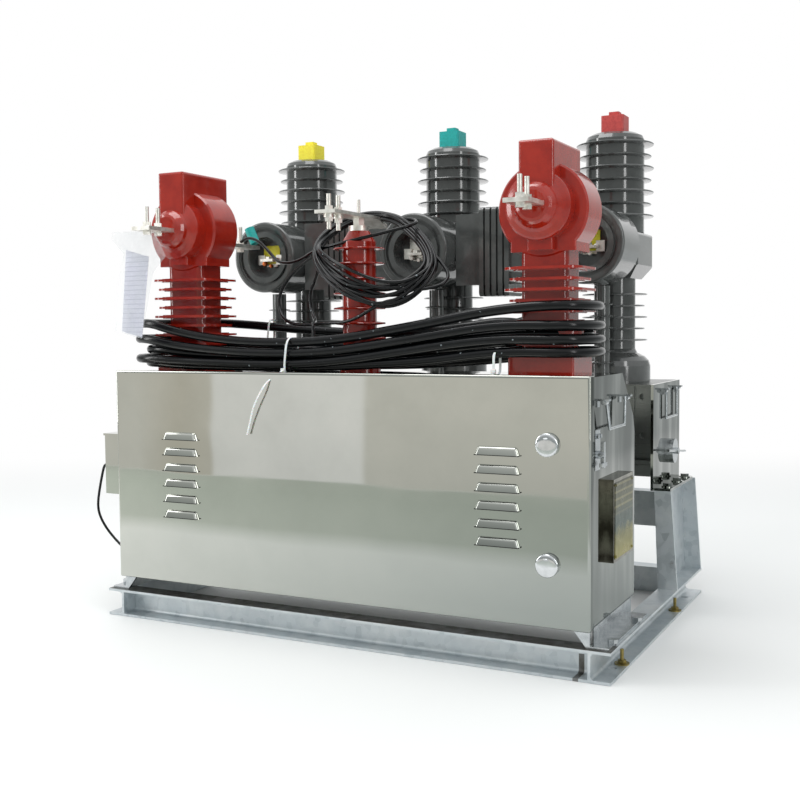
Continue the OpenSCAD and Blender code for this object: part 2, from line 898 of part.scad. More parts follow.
// The outlet in a drum: a back plate, a tinned angle and its bolt.
module outlet_terminal() {
    floor_y = drum_front + drum_recess_depth - pole_y;
    translate([-13, floor_y - 3, drum_z - 18]) cube([26, 3, 36]);
    translate([-15, floor_y - 26, drum_z - 8]) cube([30, 26, 5]);
    translate([0, floor_y - 15, drum_z - 4]) hex_head(8, 6);
    translate([-30, floor_y - 10, drum_z - 14]) cube([16, 10, 20]);
    translate([14, floor_y - 10, drum_z - 14]) cube([16, 10, 20]);
}

module outlet_terminals() {
    color(tinned) for (n = [-1, 0, 1]) at_pole(n) outlet_terminal();
}

// ---------- cables ----------

// The hank as a closed band: a long loop that stands on the box, higher at its right end.
module cable_hank() {
    inner = hank_size - [2, 2] * hank_thickness;
    past = hank_size[0];
    top = concat([[-past, hank_top[0][1]]], hank_top, [[past, hank_top[len(hank_top) - 1][1]]]);
    color(cable_black) at_front() intersection() {
        translate([hank_x, ct_y, hank_low]) linear_extrude(hank_size[1]) difference() {
            round_rect(hank_size[0], hank_size[1], hank_corner);
            round_rect(inner[0], inner[1], hank_corner - hank_thickness);
        }
        along_y(0, ct_y + hank_size[1]) polygon(concat([[past, 0], [-past, 0]], top));
    }
}

module cable_coil() {
    color(cable_black) at_front() translate(coil_centre) rotate([coil_tilt, 0, 0])
        rotate_extrude() translate([coil_r, 0]) circle(r = coil_bundle_r);
}

// A point on the smooth curve through p, between p[i] and p[i + 1].
function curve_point(p, i, t) =
    let (
        a = p[max(i - 1, 0)], b = p[i], c = p[i + 1], d = p[min(i + 2, len(p) - 1)]
    )
    0.5 * (2 * b + (c - a) * t + (2 * a - 5 * b + 4 * c - d) * t * t + (3 * b - a - 3 * c + d) * t * t * t);

function smooth_route(p, steps) = concat(
    [for (i = [0 : len(p) - 2], s = [0 : steps - 1]) curve_point(p, i, s / steps)], [p[len(p) - 1]]
);

// A tube of the given radius along a route, as rings of points square to it.
module swept_tube(route, r, sides) {
    last = len(route) - 1;
    rings = [for (i = [0 : last])
        let (
            d = route[min(i + 1, last)] - route[max(i - 1, 0)],
            t = d / norm(d),
            u = cross([0, 1, 0], t) / norm(cross([0, 1, 0], t)),
            v = cross(t, u)
        )
        for (k = [0 : sides - 1]) route[i] + r * (u * cos(360 * k / sides) + v * sin(360 * k / sides))
    ];
    faces = concat(
        [[for (k = [0 : sides - 1]) k]],
        [for (i = [0 : last - 1], k = [0 : sides - 1])
            [i * sides + k, (i + 1) * sides + k, (i + 1) * sides + (k + 1) % sides, i * sides + (k + 1) % sides]],
        [[for (k = [sides - 1 : -1 : 0]) last * sides + k]]
    );
    polyhedron(rings, faces, convexity = 4);
}

// The two ends of the hank: one from the rear of the box, one to the front of the mechanism.
module hank_leads() {
    color(cable_black) at_front()
        for (route = [box_lead_route, mech_lead_route])
            swept_tube(smooth_route(route, 2), hank_r, 10);
}

// The two ends of the coil: one from the left current transformer, one down to the hank.
module coil_leads() {
    color(cable_black) at_front()
        for (route = [coil_start_route, coil_end_route])
            swept_tube(smooth_route(route, 2), coil_strand_r, 8);
}

module side_lead() {
    color(cable_black) at_front() swept_tube(smooth_route(lead_route, 2), lead_r, 8);
}

// A flat pouch of papers that hangs from the front terminal of the left current transformer.
module document_pouch() {
    color("WhiteSmoke") at_front() along_y(-13, -11)
        polygon([[-439, 716], [-337, 716], [-373, 525], [-435, 536]]);
}

// ---------- output ----------

front_and_rear_rails();
side_rails();
columns();
cross_rail();
base_bolts();
box_body();
box_ends();
box_front_frame();
box_feet();
front_door();
door_returns();
door_hinge();
lock_covers();
draw_latch();
plate_bracket();
rating_plate();
side_terminal_box();
lifting_lugs();
box_bail_right();
mech_bail_right();
left_bails();
ct_left();
ct_right();
ct_terminals();
ct_terminal_cap();
centre_post();
centre_terminal();
mechanism_case();
mech_ends();
lever_hub();
operating_lever();
lower_insulator_a();
lower_insulator_b();
lower_insulator_c();
pole_head_a();
pole_head_b();
pole_head_c();
upper_insulator_a();
upper_insulator_b();
upper_insulator_c();
phase_cap_a();
phase_cap_b();
phase_cap_c();
bridges();
outlet_terminals();
cable_hank();
hank_leads();
cable_coil();
coil_leads();
side_lead();
document_pouch();
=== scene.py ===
import json
import math
import random

import bpy
from mathutils import Matrix, Vector


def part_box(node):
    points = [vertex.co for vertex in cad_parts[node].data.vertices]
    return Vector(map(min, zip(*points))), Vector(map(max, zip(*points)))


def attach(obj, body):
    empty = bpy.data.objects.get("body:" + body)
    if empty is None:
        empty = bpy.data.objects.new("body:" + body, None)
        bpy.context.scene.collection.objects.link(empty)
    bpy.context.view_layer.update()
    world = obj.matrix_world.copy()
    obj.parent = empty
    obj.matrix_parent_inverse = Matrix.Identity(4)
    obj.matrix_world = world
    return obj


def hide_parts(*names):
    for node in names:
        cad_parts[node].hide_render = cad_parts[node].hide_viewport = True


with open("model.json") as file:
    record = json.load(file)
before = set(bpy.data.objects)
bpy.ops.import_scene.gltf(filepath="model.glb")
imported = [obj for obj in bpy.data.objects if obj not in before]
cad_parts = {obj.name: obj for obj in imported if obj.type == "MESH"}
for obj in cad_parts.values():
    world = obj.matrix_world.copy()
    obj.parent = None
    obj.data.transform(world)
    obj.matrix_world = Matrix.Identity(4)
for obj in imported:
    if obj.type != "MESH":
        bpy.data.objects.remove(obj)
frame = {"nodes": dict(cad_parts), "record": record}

bpy.ops.object.select_all(action="DESELECT")
nodes = frame["nodes"]
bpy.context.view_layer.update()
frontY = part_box("front_and_rear_rails")[0].y  # front face of the base frame
print("frame loaded:", len(nodes), "nodes")

cameraSettings = {
    "place": (0.9451, -1.9036, 0.5412),
    "turn": (86.638, 0.525, 27.204),
    "lens": 49.32,
    "sensor": 36,
    "shift": (0.0043, -0.0110),
}
cameraData = bpy.data.cameras.new("camera")
cameraData.lens = cameraSettings["lens"]
cameraData.sensor_width = cameraSettings["sensor"]
cameraData.shift_x, cameraData.shift_y = cameraSettings["shift"]
camera = bpy.data.objects.new("camera", cameraData)
camera.location = cameraSettings["place"]
camera.rotation_euler = [math.radians(a) for a in cameraSettings["turn"]]
bpy.context.scene.collection.objects.link(camera)
bpy.context.scene.camera = camera
bpy.context.scene.view_settings.view_transform = "Standard"


def local(x, y, z):
    # front-plane millimetres, which count y from the front face of the base frame, to metres
    return Vector((x / 1000, y / 1000 + frontY, z / 1000))


def toLinear(hexColour):
    channels = [int(hexColour[i:i + 2], 16) / 255 for i in (1, 3, 5)]
    return tuple(c / 12.92 if c <= 0.04045 else ((c + 0.055) / 1.055) ** 2.4 for c in channels) + (1,)


def feed(tree, node, links):
    # each link comes from an output, or from a node by the first of its outputs that is in use
    for name, source in links.items():
        if not isinstance(source, bpy.types.NodeSocket):
            source = next(output for output in source.outputs if output.enabled)
        tree.links.new(source, node.inputs[name])


def addNode(tree, kind, settings=None, links=None):
    # a setting is a property, or a socket's own value under its name or its number
    node = tree.nodes.new("ShaderNode" + kind)
    for name, value in (settings or {}).items():
        if name == "stops":
            while len(node.color_ramp.elements) < len(value):
                node.color_ramp.elements.new(0.5)
            for stop, (place, colour) in zip(node.color_ramp.elements, value):
                stop.position = place
                stop.color = toLinear(colour) if isinstance(colour, str) else (colour, colour, colour, 1)
        elif isinstance(name, int) or name in node.inputs:
            node.inputs[name].default_value = toLinear(value) if isinstance(value, str) else value
        else:
            setattr(node, name, value)
    feed(tree, node, links or {})
    return node


def newMaterial(name, **look):
    material = bpy.data.materials.new(name)
    material.use_nodes = True
    tree = material.node_tree
    shader = tree.nodes["Principled BSDF"]
    for socket, value in look.items():
        socket = socket.replace("_", " ")
        shader.inputs[socket].default_value = toLinear(value) if isinstance(value, str) else value
    point = addNode(tree, "TexCoord").outputs["Object"]
    return material, tree, shader, point


def giveMaterial(thing, material):
    thing.data.materials.clear()
    thing.data.materials.append(material)


def cableSheath():
    # Extruded black PVC: dark and fairly glossy, with fine scuffs, and small pale specks painted as glints of
    # light where the scuffs are strongest.
    look = {"grain": 0.0011, "scuff": 0.016, "glint": 0.014, "glintSize": 0.11, "glintsWhere": 0.56}
    material, tree, shader, point = newMaterial(
        "blackPvcSheath", Base_Color="#07090B", Roughness=0.2, Specular_IOR_Level=0.3)
    grain = addNode(tree, "TexNoise", {"Scale": 1 / look["grain"], "Detail": 3}, {"Vector": point})
    scuffs = addNode(tree, "TexNoise", {"Scale": 1 / look["scuff"], "Detail": 4, "Roughness": 0.7},
                     {"Vector": point})
    marks = addNode(tree, "ValToRGB", {"stops": [(0.6, "#07090B"), (0.74, "#12171A"), (0.86, "#3A4247")]},
                    {"Fac": scuffs})
    # painted highlight: small pale specks stand for glints of light on the sheath
    glintCells = addNode(tree, "TexVoronoi", {"Scale": 1 / look["glint"]}, {"Vector": point})
    small = addNode(tree, "Math", {"operation": "LESS_THAN", 1: look["glintSize"]}, {0: glintCells})
    glintPatches = addNode(tree, "Math", {"operation": "GREATER_THAN", 1: look["glintsWhere"]}, {0: scuffs})
    isGlint = addNode(tree, "Math", {"operation": "MULTIPLY"}, {0: small, 1: glintPatches})
    glinted = addNode(tree, "Mix", {"data_type": "RGBA", 7: "#7F888C"}, {0: isGlint, 6: marks})
    rough = addNode(tree, "MapRange", {"To Min": 0.08, "To Max": 0.26}, {"Value": scuffs})
    bump = addNode(tree, "Bump", {"Strength": 0.2, "Distance": 0.0004}, {"Height": grain})
    feed(tree, shader, {"Base Color": glinted, "Roughness": rough, "Normal": bump})
    return material


def polishedStainless():
    # 304 sheet polished to a mirror: sharp reflections that swim where the sheet is not quite flat, a few
    # patches dulled by handling, painted shade that darkens the sheet downwards and to the right, and painted
    # reflections as darker upright streaks, going teal grey at the foot, on the sheets that face right.
    look = {"wave": 0.19, "waveDepth": 0.0008, "smudge": 0.13, "hairline": 0.0008, "streak": 0.045,
            "reflectionShadeHeights": (0.1, 0.42), "reflectionShadeAcross": (-0.45, 0.4), "sideShadeHeights": (0.1, 0.28),
            "faceRight": 0.7, "doorBack": 0.0015}
    material, tree, shader, point = newMaterial(
        "polishedStainlessSheet", Base_Color="#C3C3BC", Metallic=1.0, Roughness=0.04)
    waves = addNode(tree, "TexNoise", {"Scale": 1 / look["wave"], "Detail": 1.0}, {"Vector": point})
    smudges = addNode(tree, "TexNoise", {"Scale": 1 / look["smudge"], "Detail": 4, "Roughness": 0.6},
                      {"Vector": point})
    brushed = addNode(tree, "Mapping", {"Scale": (1.0, 1.0, 0.03)}, {"Vector": point})
    hairlines = addNode(tree, "TexNoise", {"Scale": 1 / look["hairline"], "Detail": 2}, {"Vector": brushed})
    tint = addNode(tree, "ValToRGB", {"stops": [(0.3, "#BDBEB7"), (0.52, "#C3C4BD"), (0.75, "#C9C9C2")]},
                   {"Fac": smudges})
    axes = addNode(tree, "SeparateXYZ", None, {"Vector": point}).outputs
    # painted shade: the sheet's colour darkens towards the foot and towards the right, for the darker
    # reflections there
    shadeLow, shadeHigh = look["reflectionShadeHeights"]
    shadeDownwards = addNode(tree, "MapRange", {"From Min": shadeLow, "From Max": shadeHigh, "To Min": 1, "To Max": 0},
                    {"Value": axes["Z"]})
    shadeLeft, shadeRight = look["reflectionShadeAcross"]
    across = addNode(tree, "MapRange", {"From Min": shadeLeft, "From Max": shadeRight, "To Min": 0.15},
                     {"Value": axes["X"]})
    dustAndPaintedShade = addNode(tree, "Math", {"operation": "MULTIPLY"}, {0: shadeDownwards, 1: across})
    dustyAndShaded = addNode(tree, "Mix", {"data_type": "RGBA", 7: "#9A9F9B"}, {0: dustAndPaintedShade, 6: tint})
    # painted reflection: darker and lighter upright streaks stand for what the sheets that face right reflect
    upright = addNode(tree, "Mapping", {"Scale": (1.0, 1.0, 0.15)}, {"Vector": point})
    streaks = addNode(tree, "TexNoise", {"Scale": 1 / look["streak"], "Detail": 2}, {"Vector": upright})
    paintedSideReflections = addNode(tree, "ValToRGB", {"stops": [(0.36, "#565A56"), (0.5, "#6C706C"), (0.64, "#9A9C98")]},
                      {"Fac": streaks})
    # painted shade: those sheets turn a darker teal grey towards the foot
    sideShadeLow, sideShadeHigh = look["sideShadeHeights"]
    sideFootShade = addNode(tree, "MapRange", {"From Min": sideShadeLow, "From Max": sideShadeHigh, "To Min": 0.8, "To Max": 0},
                   {"Value": axes["Z"]})
    darkened = addNode(tree, "Mix", {"data_type": "RGBA", 7: "#68716D"}, {0: sideFootShade, 6: paintedSideReflections})
    normal = addNode(tree, "NewGeometry").outputs["Normal"]
    facing = addNode(tree, "SeparateXYZ", None, {"Vector": normal}).outputs
    faceRight = addNode(tree, "Math", {"operation": "GREATER_THAN", 1: look["faceRight"]}, {0: facing["X"]})
    behindDoor = addNode(tree, "Math", {"operation": "GREATER_THAN", 1: frontY + look["doorBack"]},
                         {0: axes["Y"]})
    onSide = addNode(tree, "Math", {"operation": "MULTIPLY"}, {0: faceRight, 1: behindDoor})
    # the sheets that face right take the painted reflection streaks and foot shade instead of the front
    # sheets' colour
    colour = addNode(tree, "Mix", {"data_type": "RGBA"}, {0: onSide, 6: dustyAndShaded, 7: darkened})
    dull = addNode(tree, "MapRange", {"From Min": 0.4, "From Max": 0.8, "To Min": 0.0, "To Max": 0.05},
                   {"Value": smudges})
    rough = addNode(tree, "Math", {"operation": "MULTIPLY_ADD", 1: 0.03}, {0: hairlines, 2: dull})
    bump = addNode(tree, "Bump", {"Strength": 1.0, "Distance": look["waveDepth"]}, {"Height": waves})
    feed(tree, shader, {"Base Color": colour, "Roughness": rough, "Normal": bump})
    return material


def satinStainless():
    # Cold-rolled 304 with a satin belt finish: soft streaked reflections along the sheet.
    look = {"streak": 0.0012, "streakDepth": 0.00005, "patch": 1 / 9}
    material, tree, shader, point = newMaterial(
        "satinStainlessSheet", Base_Color="#7F8280", Metallic=1.0, Roughness=0.3)
    belt = addNode(tree, "Mapping", {"Scale": (0.02, 0.02, 1.0)}, {"Vector": point})
    streaks = addNode(tree, "TexNoise", {"Scale": 1 / look["streak"], "Detail": 3}, {"Vector": belt})
    patches = addNode(tree, "TexNoise", {"Scale": 1 / look["patch"], "Detail": 3}, {"Vector": point})
    tint = addNode(tree, "ValToRGB", {"stops": [(0.3, "#6E7170"), (0.7, "#8C8F8C")]}, {"Fac": patches})
    rough = addNode(tree, "MapRange", {"To Min": 0.2, "To Max": 0.42}, {"Value": streaks})
    bump = addNode(tree, "Bump", {"Strength": 0.4, "Distance": look["streakDepth"]}, {"Height": streaks})
    feed(tree, shader, {"Base Color": tint, "Roughness": rough, "Normal": bump})
    return material


def galvanisedSteel():
    # Rolled channel, hot-dip galvanised: blue-grey zinc crystals, chalky bloom and a few rust stains, with
    # oily grime and painted shade from the box above on the front rail's upper flange, and a rust run down
    # its web near the right end.
    look = {"crystal": 0.011, "bloom": 0.06, "rust": 0.045, "frontRail": 0.04, "flangeHeight": 0.04,
            "faceUp": 0.8, "runX": 0.433, "runHalfWidth": 0.0045, "runTop": 0.034}
    material, tree, shader, point = newMaterial(
        "hotDipGalvanisedSteel", Base_Color="#AEB8BD", Metallic=0.75, Roughness=0.42)
    crystals = addNode(tree, "TexVoronoi", {"Scale": 1 / look["crystal"], "Randomness": 1.0},
                       {"Vector": point})
    grey = addNode(tree, "RGBToBW", None, {"Color": crystals.outputs["Color"]})
    zinc = addNode(tree, "ValToRGB", {"stops": [(0.1, "#B2BABE"), (0.5, "#C6CDD0"), (0.9, "#C4CACE")]},
                   {"Fac": grey})
    bloom = addNode(tree, "TexNoise", {"Scale": 1 / look["bloom"], "Detail": 6, "Roughness": 0.62},
                    {"Vector": point})
    chalk = addNode(tree, "ValToRGB", {"stops": [(0.45, 0.0), (0.72, 0.75)]}, {"Fac": bloom})
    chalky = addNode(tree, "Mix", {"data_type": "RGBA", 7: "#D9DCDC"}, {0: chalk, 6: zinc})
    stains = addNode(tree, "TexNoise", {"Scale": 1 / look["rust"], "Detail": 8, "Roughness": 0.7},
                     {"Vector": point})
    rust = addNode(tree, "ValToRGB", {"stops": [(0.66, 0.0), (0.74, 0.55)]}, {"Fac": stains})
    rusty = addNode(tree, "Mix", {"data_type": "RGBA", 7: "#6E5240"}, {0: rust, 6: chalky})
    axes = addNode(tree, "SeparateXYZ", None, {"Vector": point}).outputs
    normal = addNode(tree, "NewGeometry").outputs["Normal"]
    facing = addNode(tree, "SeparateXYZ", None, {"Vector": normal}).outputs
    # dirt and painted shade: the front rail's up-facing flange top, under the box, darkens with grime and
    # with the box's shade
    faceUp = addNode(tree, "Math", {"operation": "GREATER_THAN", 1: look["faceUp"]}, {0: facing["Z"]})
    high = addNode(tree, "Math", {"operation": "GREATER_THAN", 1: look["flangeHeight"]}, {0: axes["Z"]})
    onFlange = addNode(tree, "Math", {"operation": "MULTIPLY"}, {0: faceUp, 1: high})
    atRun = addNode(tree, "Math", {"operation": "COMPARE", 1: look["runX"], 2: look["runHalfWidth"]},
                    {0: axes["X"]})
    low = addNode(tree, "Math", {"operation": "LESS_THAN", 1: look["runTop"]}, {0: axes["Z"]})
    inRun = addNode(tree, "Math", {"operation": "MULTIPLY"}, {0: atRun, 1: low})
    either = addNode(tree, "Math", {"operation": "MAXIMUM"}, {0: onFlange, 1: inRun})
    atFront = addNode(tree, "Math", {"operation": "LESS_THAN", 1: frontY + look["frontRail"]}, {0: axes["Y"]})
    darkened = addNode(tree, "Math", {"operation": "MULTIPLY"}, {0: either, 1: atFront})
    patchy = addNode(tree, "ValToRGB", {"stops": [(0.3, 0.6), (0.6, 0.95)]}, {"Fac": bloom})
    grimeAndShade = addNode(tree, "Math", {"operation": "MULTIPLY"}, {0: darkened, 1: patchy})
    # dark brown for grime on the flange together with painted shade under the box, and for the rust run
    grimedAndShaded = addNode(tree, "Mix", {"data_type": "RGBA", 7: "#453F34"}, {0: grimeAndShade, 6: rusty})
    rough = addNode(tree, "MapRange", {"To Min": 0.3, "To Max": 0.55}, {"Value": grey})
    bump = addNode(tree, "Bump", {"Strength": 0.35, "Distance": 0.0006}, {"Height": bloom})
    feed(tree, shader, {"Base Color": grimedAndShaded, "Roughness": rough, "Normal": bump})
    return material


def platedMetal(name, colour, dark, roughness, cloud=0.012):
    # Small turned or pressed parts, electroplated: even colour with fine dents and slight clouds.
    material, tree, shader, point = newMaterial(name, Base_Color=colour, Metallic=1.0, Roughness=roughness)
    clouds = addNode(tree, "TexNoise", {"Scale": 1 / cloud, "Detail": 4}, {"Vector": point})
    tint = addNode(tree, "ValToRGB", {"stops": [(0.3, dark), (0.65, colour)]}, {"Fac": clouds})
    rough = addNode(tree, "MapRange", {"To Min": roughness * 0.7, "To Max": roughness * 1.4},
                    {"Value": clouds})
    bump = addNode(tree, "Bump", {"Strength": 0.3, "Distance": 0.0002}, {"Height": clouds})
    feed(tree, shader, {"Base Color": tint, "Roughness": rough, "Normal": bump})
    return material


def ruledRows(tree, height, pitch, share):
    # one on the rows and nought between them, for rows this far apart
    counted = addNode(tree, "Math", {"operation": "MULTIPLY", 1: 1 / pitch}, {0: height})
    fraction = addNode(tree, "Math", {"operation": "FRACT"}, {0: counted})
    return addNode(tree, "Math", {"operation": "LESS_THAN", 1: share}, {0: fraction})


def etchedPlate():
    # Etched brass rating plate: olive ground, gone green in the middle, with faint blank rows at the top.
    look = {"row": 0.0115, "rowShare": 0.3, "rowsFrom": (0.55, 0.66), "cloud": 1 / 60, "stray": 0.3}
    low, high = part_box("rating_plate")
    material, tree, shader, point = newMaterial(
        "etchedBrassPlate", Base_Color="#6B6A48", Metallic=0.7, Roughness=0.3)
    upright = addNode(tree, "SeparateXYZ", None, {"Vector": point}).outputs["Z"]
    height = addNode(tree, "MapRange", {"From Min": low.z, "From Max": high.z}, {"Value": upright})
    clouds = addNode(tree, "TexNoise", {"Scale": 1 / look["cloud"], "Detail": 5}, {"Vector": point})
    patina = addNode(tree, "Math", {"operation": "MULTIPLY_ADD", 1: look["stray"], 2: -look["stray"] / 2},
                     {0: clouds})
    place = addNode(tree, "Math", {"operation": "ADD"}, {0: height, 1: patina})
    ground = addNode(tree, "ValToRGB", {"stops": [(0.08, "#8A8238"), (0.3, "#6F6C34"), (0.42, "#35493F"),
                                                  (0.58, "#3C4A40"), (0.72, "#585A40"), (1.0, "#4C4C38")]},
                     {"Fac": place})
    rowsLow, rowsHigh = look["rowsFrom"]
    upper = addNode(tree, "MapRange", {"From Min": rowsLow, "From Max": rowsHigh, "To Max": 0.4},
                    {"Value": height})
    drawn = addNode(tree, "Math", {"operation": "MULTIPLY"},
                    {0: ruledRows(tree, upright, look["row"], look["rowShare"]), 1: upper})
    ruled = addNode(tree, "Mix", {"data_type": "RGBA", 7: "#A59E72"}, {0: drawn, 6: ground})
    rough = addNode(tree, "MapRange", {"To Min": 0.18, "To Max": 0.42}, {"Value": clouds})
    feed(tree, shader, {"Base Color": ruled, "Roughness": rough})
    return material


def shadedOpening():
    # Painted shadow for the mouth of a louvre: matt, nearly black, with a little dust.
    look = {"dustAndPaintedShade": 1 / 300}
    material, tree, shader, point = newMaterial("shadedOpening", Base_Color="#1B1C1B", Roughness=0.9)
    dustAndPaintedShade = addNode(tree, "TexNoise", {"Scale": 1 / look["dustAndPaintedShade"], "Detail": 3}, {"Vector": point})
    tint = addNode(tree, "ValToRGB", {"stops": [(0.4, "#151615"), (0.8, "#2C2D2B")]}, {"Fac": dustAndPaintedShade})
    feed(tree, shader, {"Base Color": tint})
    return material


def castEpoxy(name, colour, dark, coat, dustAndPaintedShade):
    # Filled epoxy cast in a steel mould: glossy with a faint orange peel, slight mottling,
    # and a film of dust on what faces up.
    look = {"peel": 0.004, "mottle": 0.03, "roughness": 0.14, "faceUp": 0.75, "dustShare": 0.08}
    material, tree, shader, point = newMaterial(
        name, Base_Color=colour, Roughness=look["roughness"], Coat_Weight=coat, Coat_Roughness=0.05, IOR=1.52)
    mottle = addNode(tree, "TexNoise", {"Scale": 1 / look["mottle"], "Detail": 5, "Roughness": 0.6},
                     {"Vector": point})
    tint = addNode(tree, "ValToRGB", {"stops": [(0.3, dark), (0.62, colour)]}, {"Fac": mottle})
    normal = addNode(tree, "NewGeometry").outputs["Normal"]
    facing = addNode(tree, "SeparateXYZ", None, {"Vector": normal}).outputs
    top = addNode(tree, "MapRange", {"From Min": look["faceUp"], "To Max": look["dustShare"]},
                  {"Value": facing["Z"]})
    dustyAndShaded = addNode(tree, "Mix", {"data_type": "RGBA", 7: dustAndPaintedShade}, {0: top, 6: tint})
    rough = addNode(tree, "MapRange", {"To Min": look["roughness"] * 0.75, "To Max": look["roughness"] * 1.3},
                    {"Value": mottle})
    peel = addNode(tree, "TexNoise", {"Scale": 1 / look["peel"], "Detail": 2}, {"Vector": point})
    bump = addNode(tree, "Bump", {"Strength": 0.05, "Distance": 0.0004}, {"Height": peel})
    feed(tree, shader, {"Base Color": dustyAndShaded, "Roughness": rough, "Normal": bump})
    return material


def softVinyl(name, colour, dark):
    # Dip-moulded PVC cap: waxy, evenly coloured, slightly pitted.
    look = {"pit": 1 / 220}
    material, tree, shader, point = newMaterial(
        name, Base_Color=colour, Roughness=0.42, Subsurface_Weight=0.08, Subsurface_Scale=0.01)
    pits = addNode(tree, "TexNoise", {"Scale": 1 / look["pit"], "Detail": 4}, {"Vector": point})
    tint = addNode(tree, "ValToRGB", {"stops": [(0.3, dark), (0.6, colour)]}, {"Fac": pits})
    bump = addNode(tree, "Bump", {"Strength": 0.2, "Distance": 0.0004}, {"Height": pits})
    feed(tree, shader, {"Base Color": tint, "Normal": bump})
    return material


def nylon():
    # Natural nylon cable tie: milky, slightly glossy, a little greyer where it was handled.
    look = {"cloud": 1 / 120}
    material, tree, shader, point = newMaterial(
        "naturalNylon", Base_Color="#ECEDEC", Roughness=0.38, Subsurface_Weight=0.15, Subsurface_Scale=0.004)
    clouds = addNode(tree, "TexNoise", {"Scale": 1 / look["cloud"], "Detail": 3}, {"Vector": point})
    tint = addNode(tree, "ValToRGB", {"stops": [(0.3, "#DDDFE0"), (0.6, "#F2F3F2")]}, {"Fac": clouds})
    feed(tree, shader, {"Base Color": tint})
    return material


def clearFilm():
    # Polyethylene pouch: thin clear film, crinkled, with soft highlights along the folds.
    look = {"crease": 1 / 16, "creaseDepth": 0.002}
    material, tree, shader, point = newMaterial(
        "clearPolyethyleneFilm", Base_Color="#E8EBEE", Roughness=0.2, Alpha=0.2, IOR=1.45)
    creases = addNode(tree, "TexNoise", {"Scale": 1 / look["crease"], "Detail": 2, "Distortion": 0.8},
                      {"Vector": point})
    bump = addNode(tree, "Bump", {"Strength": 0.4, "Distance": look["creaseDepth"]}, {"Height": creases})
    opacity = addNode(tree, "MapRange", {"From Min": 0.35, "From Max": 0.7, "To Min": 0.1, "To Max": 0.26},
                      {"Value": creases})
    feed(tree, shader, {"Normal": bump, "Alpha": opacity})
    return material


def printedPaper():
    # Folded office paper with faint blank form rules.
    look = {"row": 0.0085, "rowShare": 0.14, "fibre": 1 / 260}
    material, tree, shader, point = newMaterial("foldedPaper", Base_Color="#DCDCE8", Roughness=0.75)
    height = addNode(tree, "SeparateXYZ", None, {"Vector": point}).outputs["Z"]
    fibres = addNode(tree, "TexNoise", {"Scale": 1 / look["fibre"], "Detail": 4}, {"Vector": point})
    plain = addNode(tree, "ValToRGB", {"stops": [(0.3, "#CDCDDD"), (0.6, "#DADAE7")]}, {"Fac": fibres})
    rows = ruledRows(tree, height, look["row"], look["rowShare"])
    ruled = addNode(tree, "Mix", {"data_type": "RGBA", 7: "#AEAFC2"}, {0: rows, 6: plain})
    feed(tree, shader, {"Base Color": ruled})
    return material


sheath = cableSheath()
mirror = polishedStainless()
chrome = platedMetal("chromedZincAlloy", "#DCDEE0", "#C9CCCE", 0.07)
tinned = platedMetal("tinnedCopper", "#F6F4EE", "#DAD7CE", 0.38)
# painted reflection: the polished bracket's dark reflections are painted in as a dark bronze tone
darkMirrorSteel = platedMetal("mirrorSteelPaintedDark", "#8C897C", "#3E3B33", 0.07, 0.03)
copper = platedMetal("bareCopper", "#B4683F", "#8A4A2C", 0.3)
yellowCap = softVinyl("yellowVinyl", "#F2E63C", "#E6D52E")
shaded = shadedOpening()
film = clearFilm()
paper = printedPaper()
tieNylon = nylon()

finishes = {
    "mirror_stainless": mirror,
    "satin_stainless": satinStainless(),
    "galvanised_steel": galvanisedSteel(),
    "bright_steel": platedMetal("zincPlatedSteel", "#C6CACC", "#A9AEB1", 0.22),
    "chrome_cover": chrome,
    "tinned_copper": tinned,
    "yellow_zinc": platedMetal("yellowPassivatedZinc", "#A3935A", "#6F6540", 0.36),
    "red_epoxy": castEpoxy("redCastEpoxy", "#A42413", "#90190C", 0.4, "#A8604E"),
    "grey_rubber": castEpoxy("greyCastEpoxy", "#525453", "#454847", 0.7, "#8C8A86"),
    "yellow_plastic": yellowCap,
    "teal_plastic": softVinyl("tealVinyl", "#17A9A4", "#0F9893"),
    "red_plastic": softVinyl("redVinyl", "#C24A47", "#AE3D3C"),
    "brass_plate": etchedPlate(),
    "black_cable": sheath,
    "clear_pouch": film,
}
for part in frame["record"]["subparts"]:
    giveMaterial(nodes[part["node"]], finishes[part["material_slot"]])
giveMaterial(nodes["mech_ends"], mirror)
# the bracket gets the darkened steel with painted dark reflections
giveMaterial(nodes["plate_bracket"], darkMirrorSteel)
print("materials on", len(nodes), "nodes")


def smoothRoute(points, steps):
    # a smooth line through every point, with this many steps from one to the next
    out = []
    for i in range(len(points) - 1):
        a, b = points[max(i - 1, 0)], points[i]
        c, d = points[i + 1], points[min(i + 2, len(points) - 1)]
        for s in range(steps):
            t = s / steps
            out.append(0.5 * (2 * b + (c - a) * t + (2 * a - 5 * b + 4 * c - d) * t * t
                              + (3 * b - a - 3 * c + d) * t ** 3))
    return out + [points[-1]]


def layCable(name, points, diameter, stiffness, lay, *standsFor):
    # a round cable that is shown in place of the nodes it stands for
    curve = bpy.data.curves.new(name, "CURVE")
    curve.dimensions = "3D"
    curve.bevel_depth = diameter / 2
    curve.bevel_resolution = 5
    curve.resolution_u = 4
    curve.use_fill_caps = True
    spline = curve.splines.new("NURBS")
    spline.points.add(len(points) - 1)
    for target, source in zip(spline.points, points):
        target.co = (source.x, source.y, source.z, 1)
    spline.order_u = 4
    spline.use_endpoint_u = True
    cable = bpy.data.objects.new(name, curve)
    bpy.context.scene.collection.objects.link(cable)
    giveMaterial(cable, sheath)
    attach(cable, "frame")
    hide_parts(*standsFor)


def between(stations, values, x):
    # straight-line reading of a table whose stations run downwards
    if x >= stations[0]:
        return values[0]
    for i in range(1, len(stations)):
        if x >= stations[i]:
            share = (stations[i - 1] - x) / (stations[i - 1] - stations[i])
            return values[i - 1] + (values[i] - values[i - 1]) * share
    return values[-1]


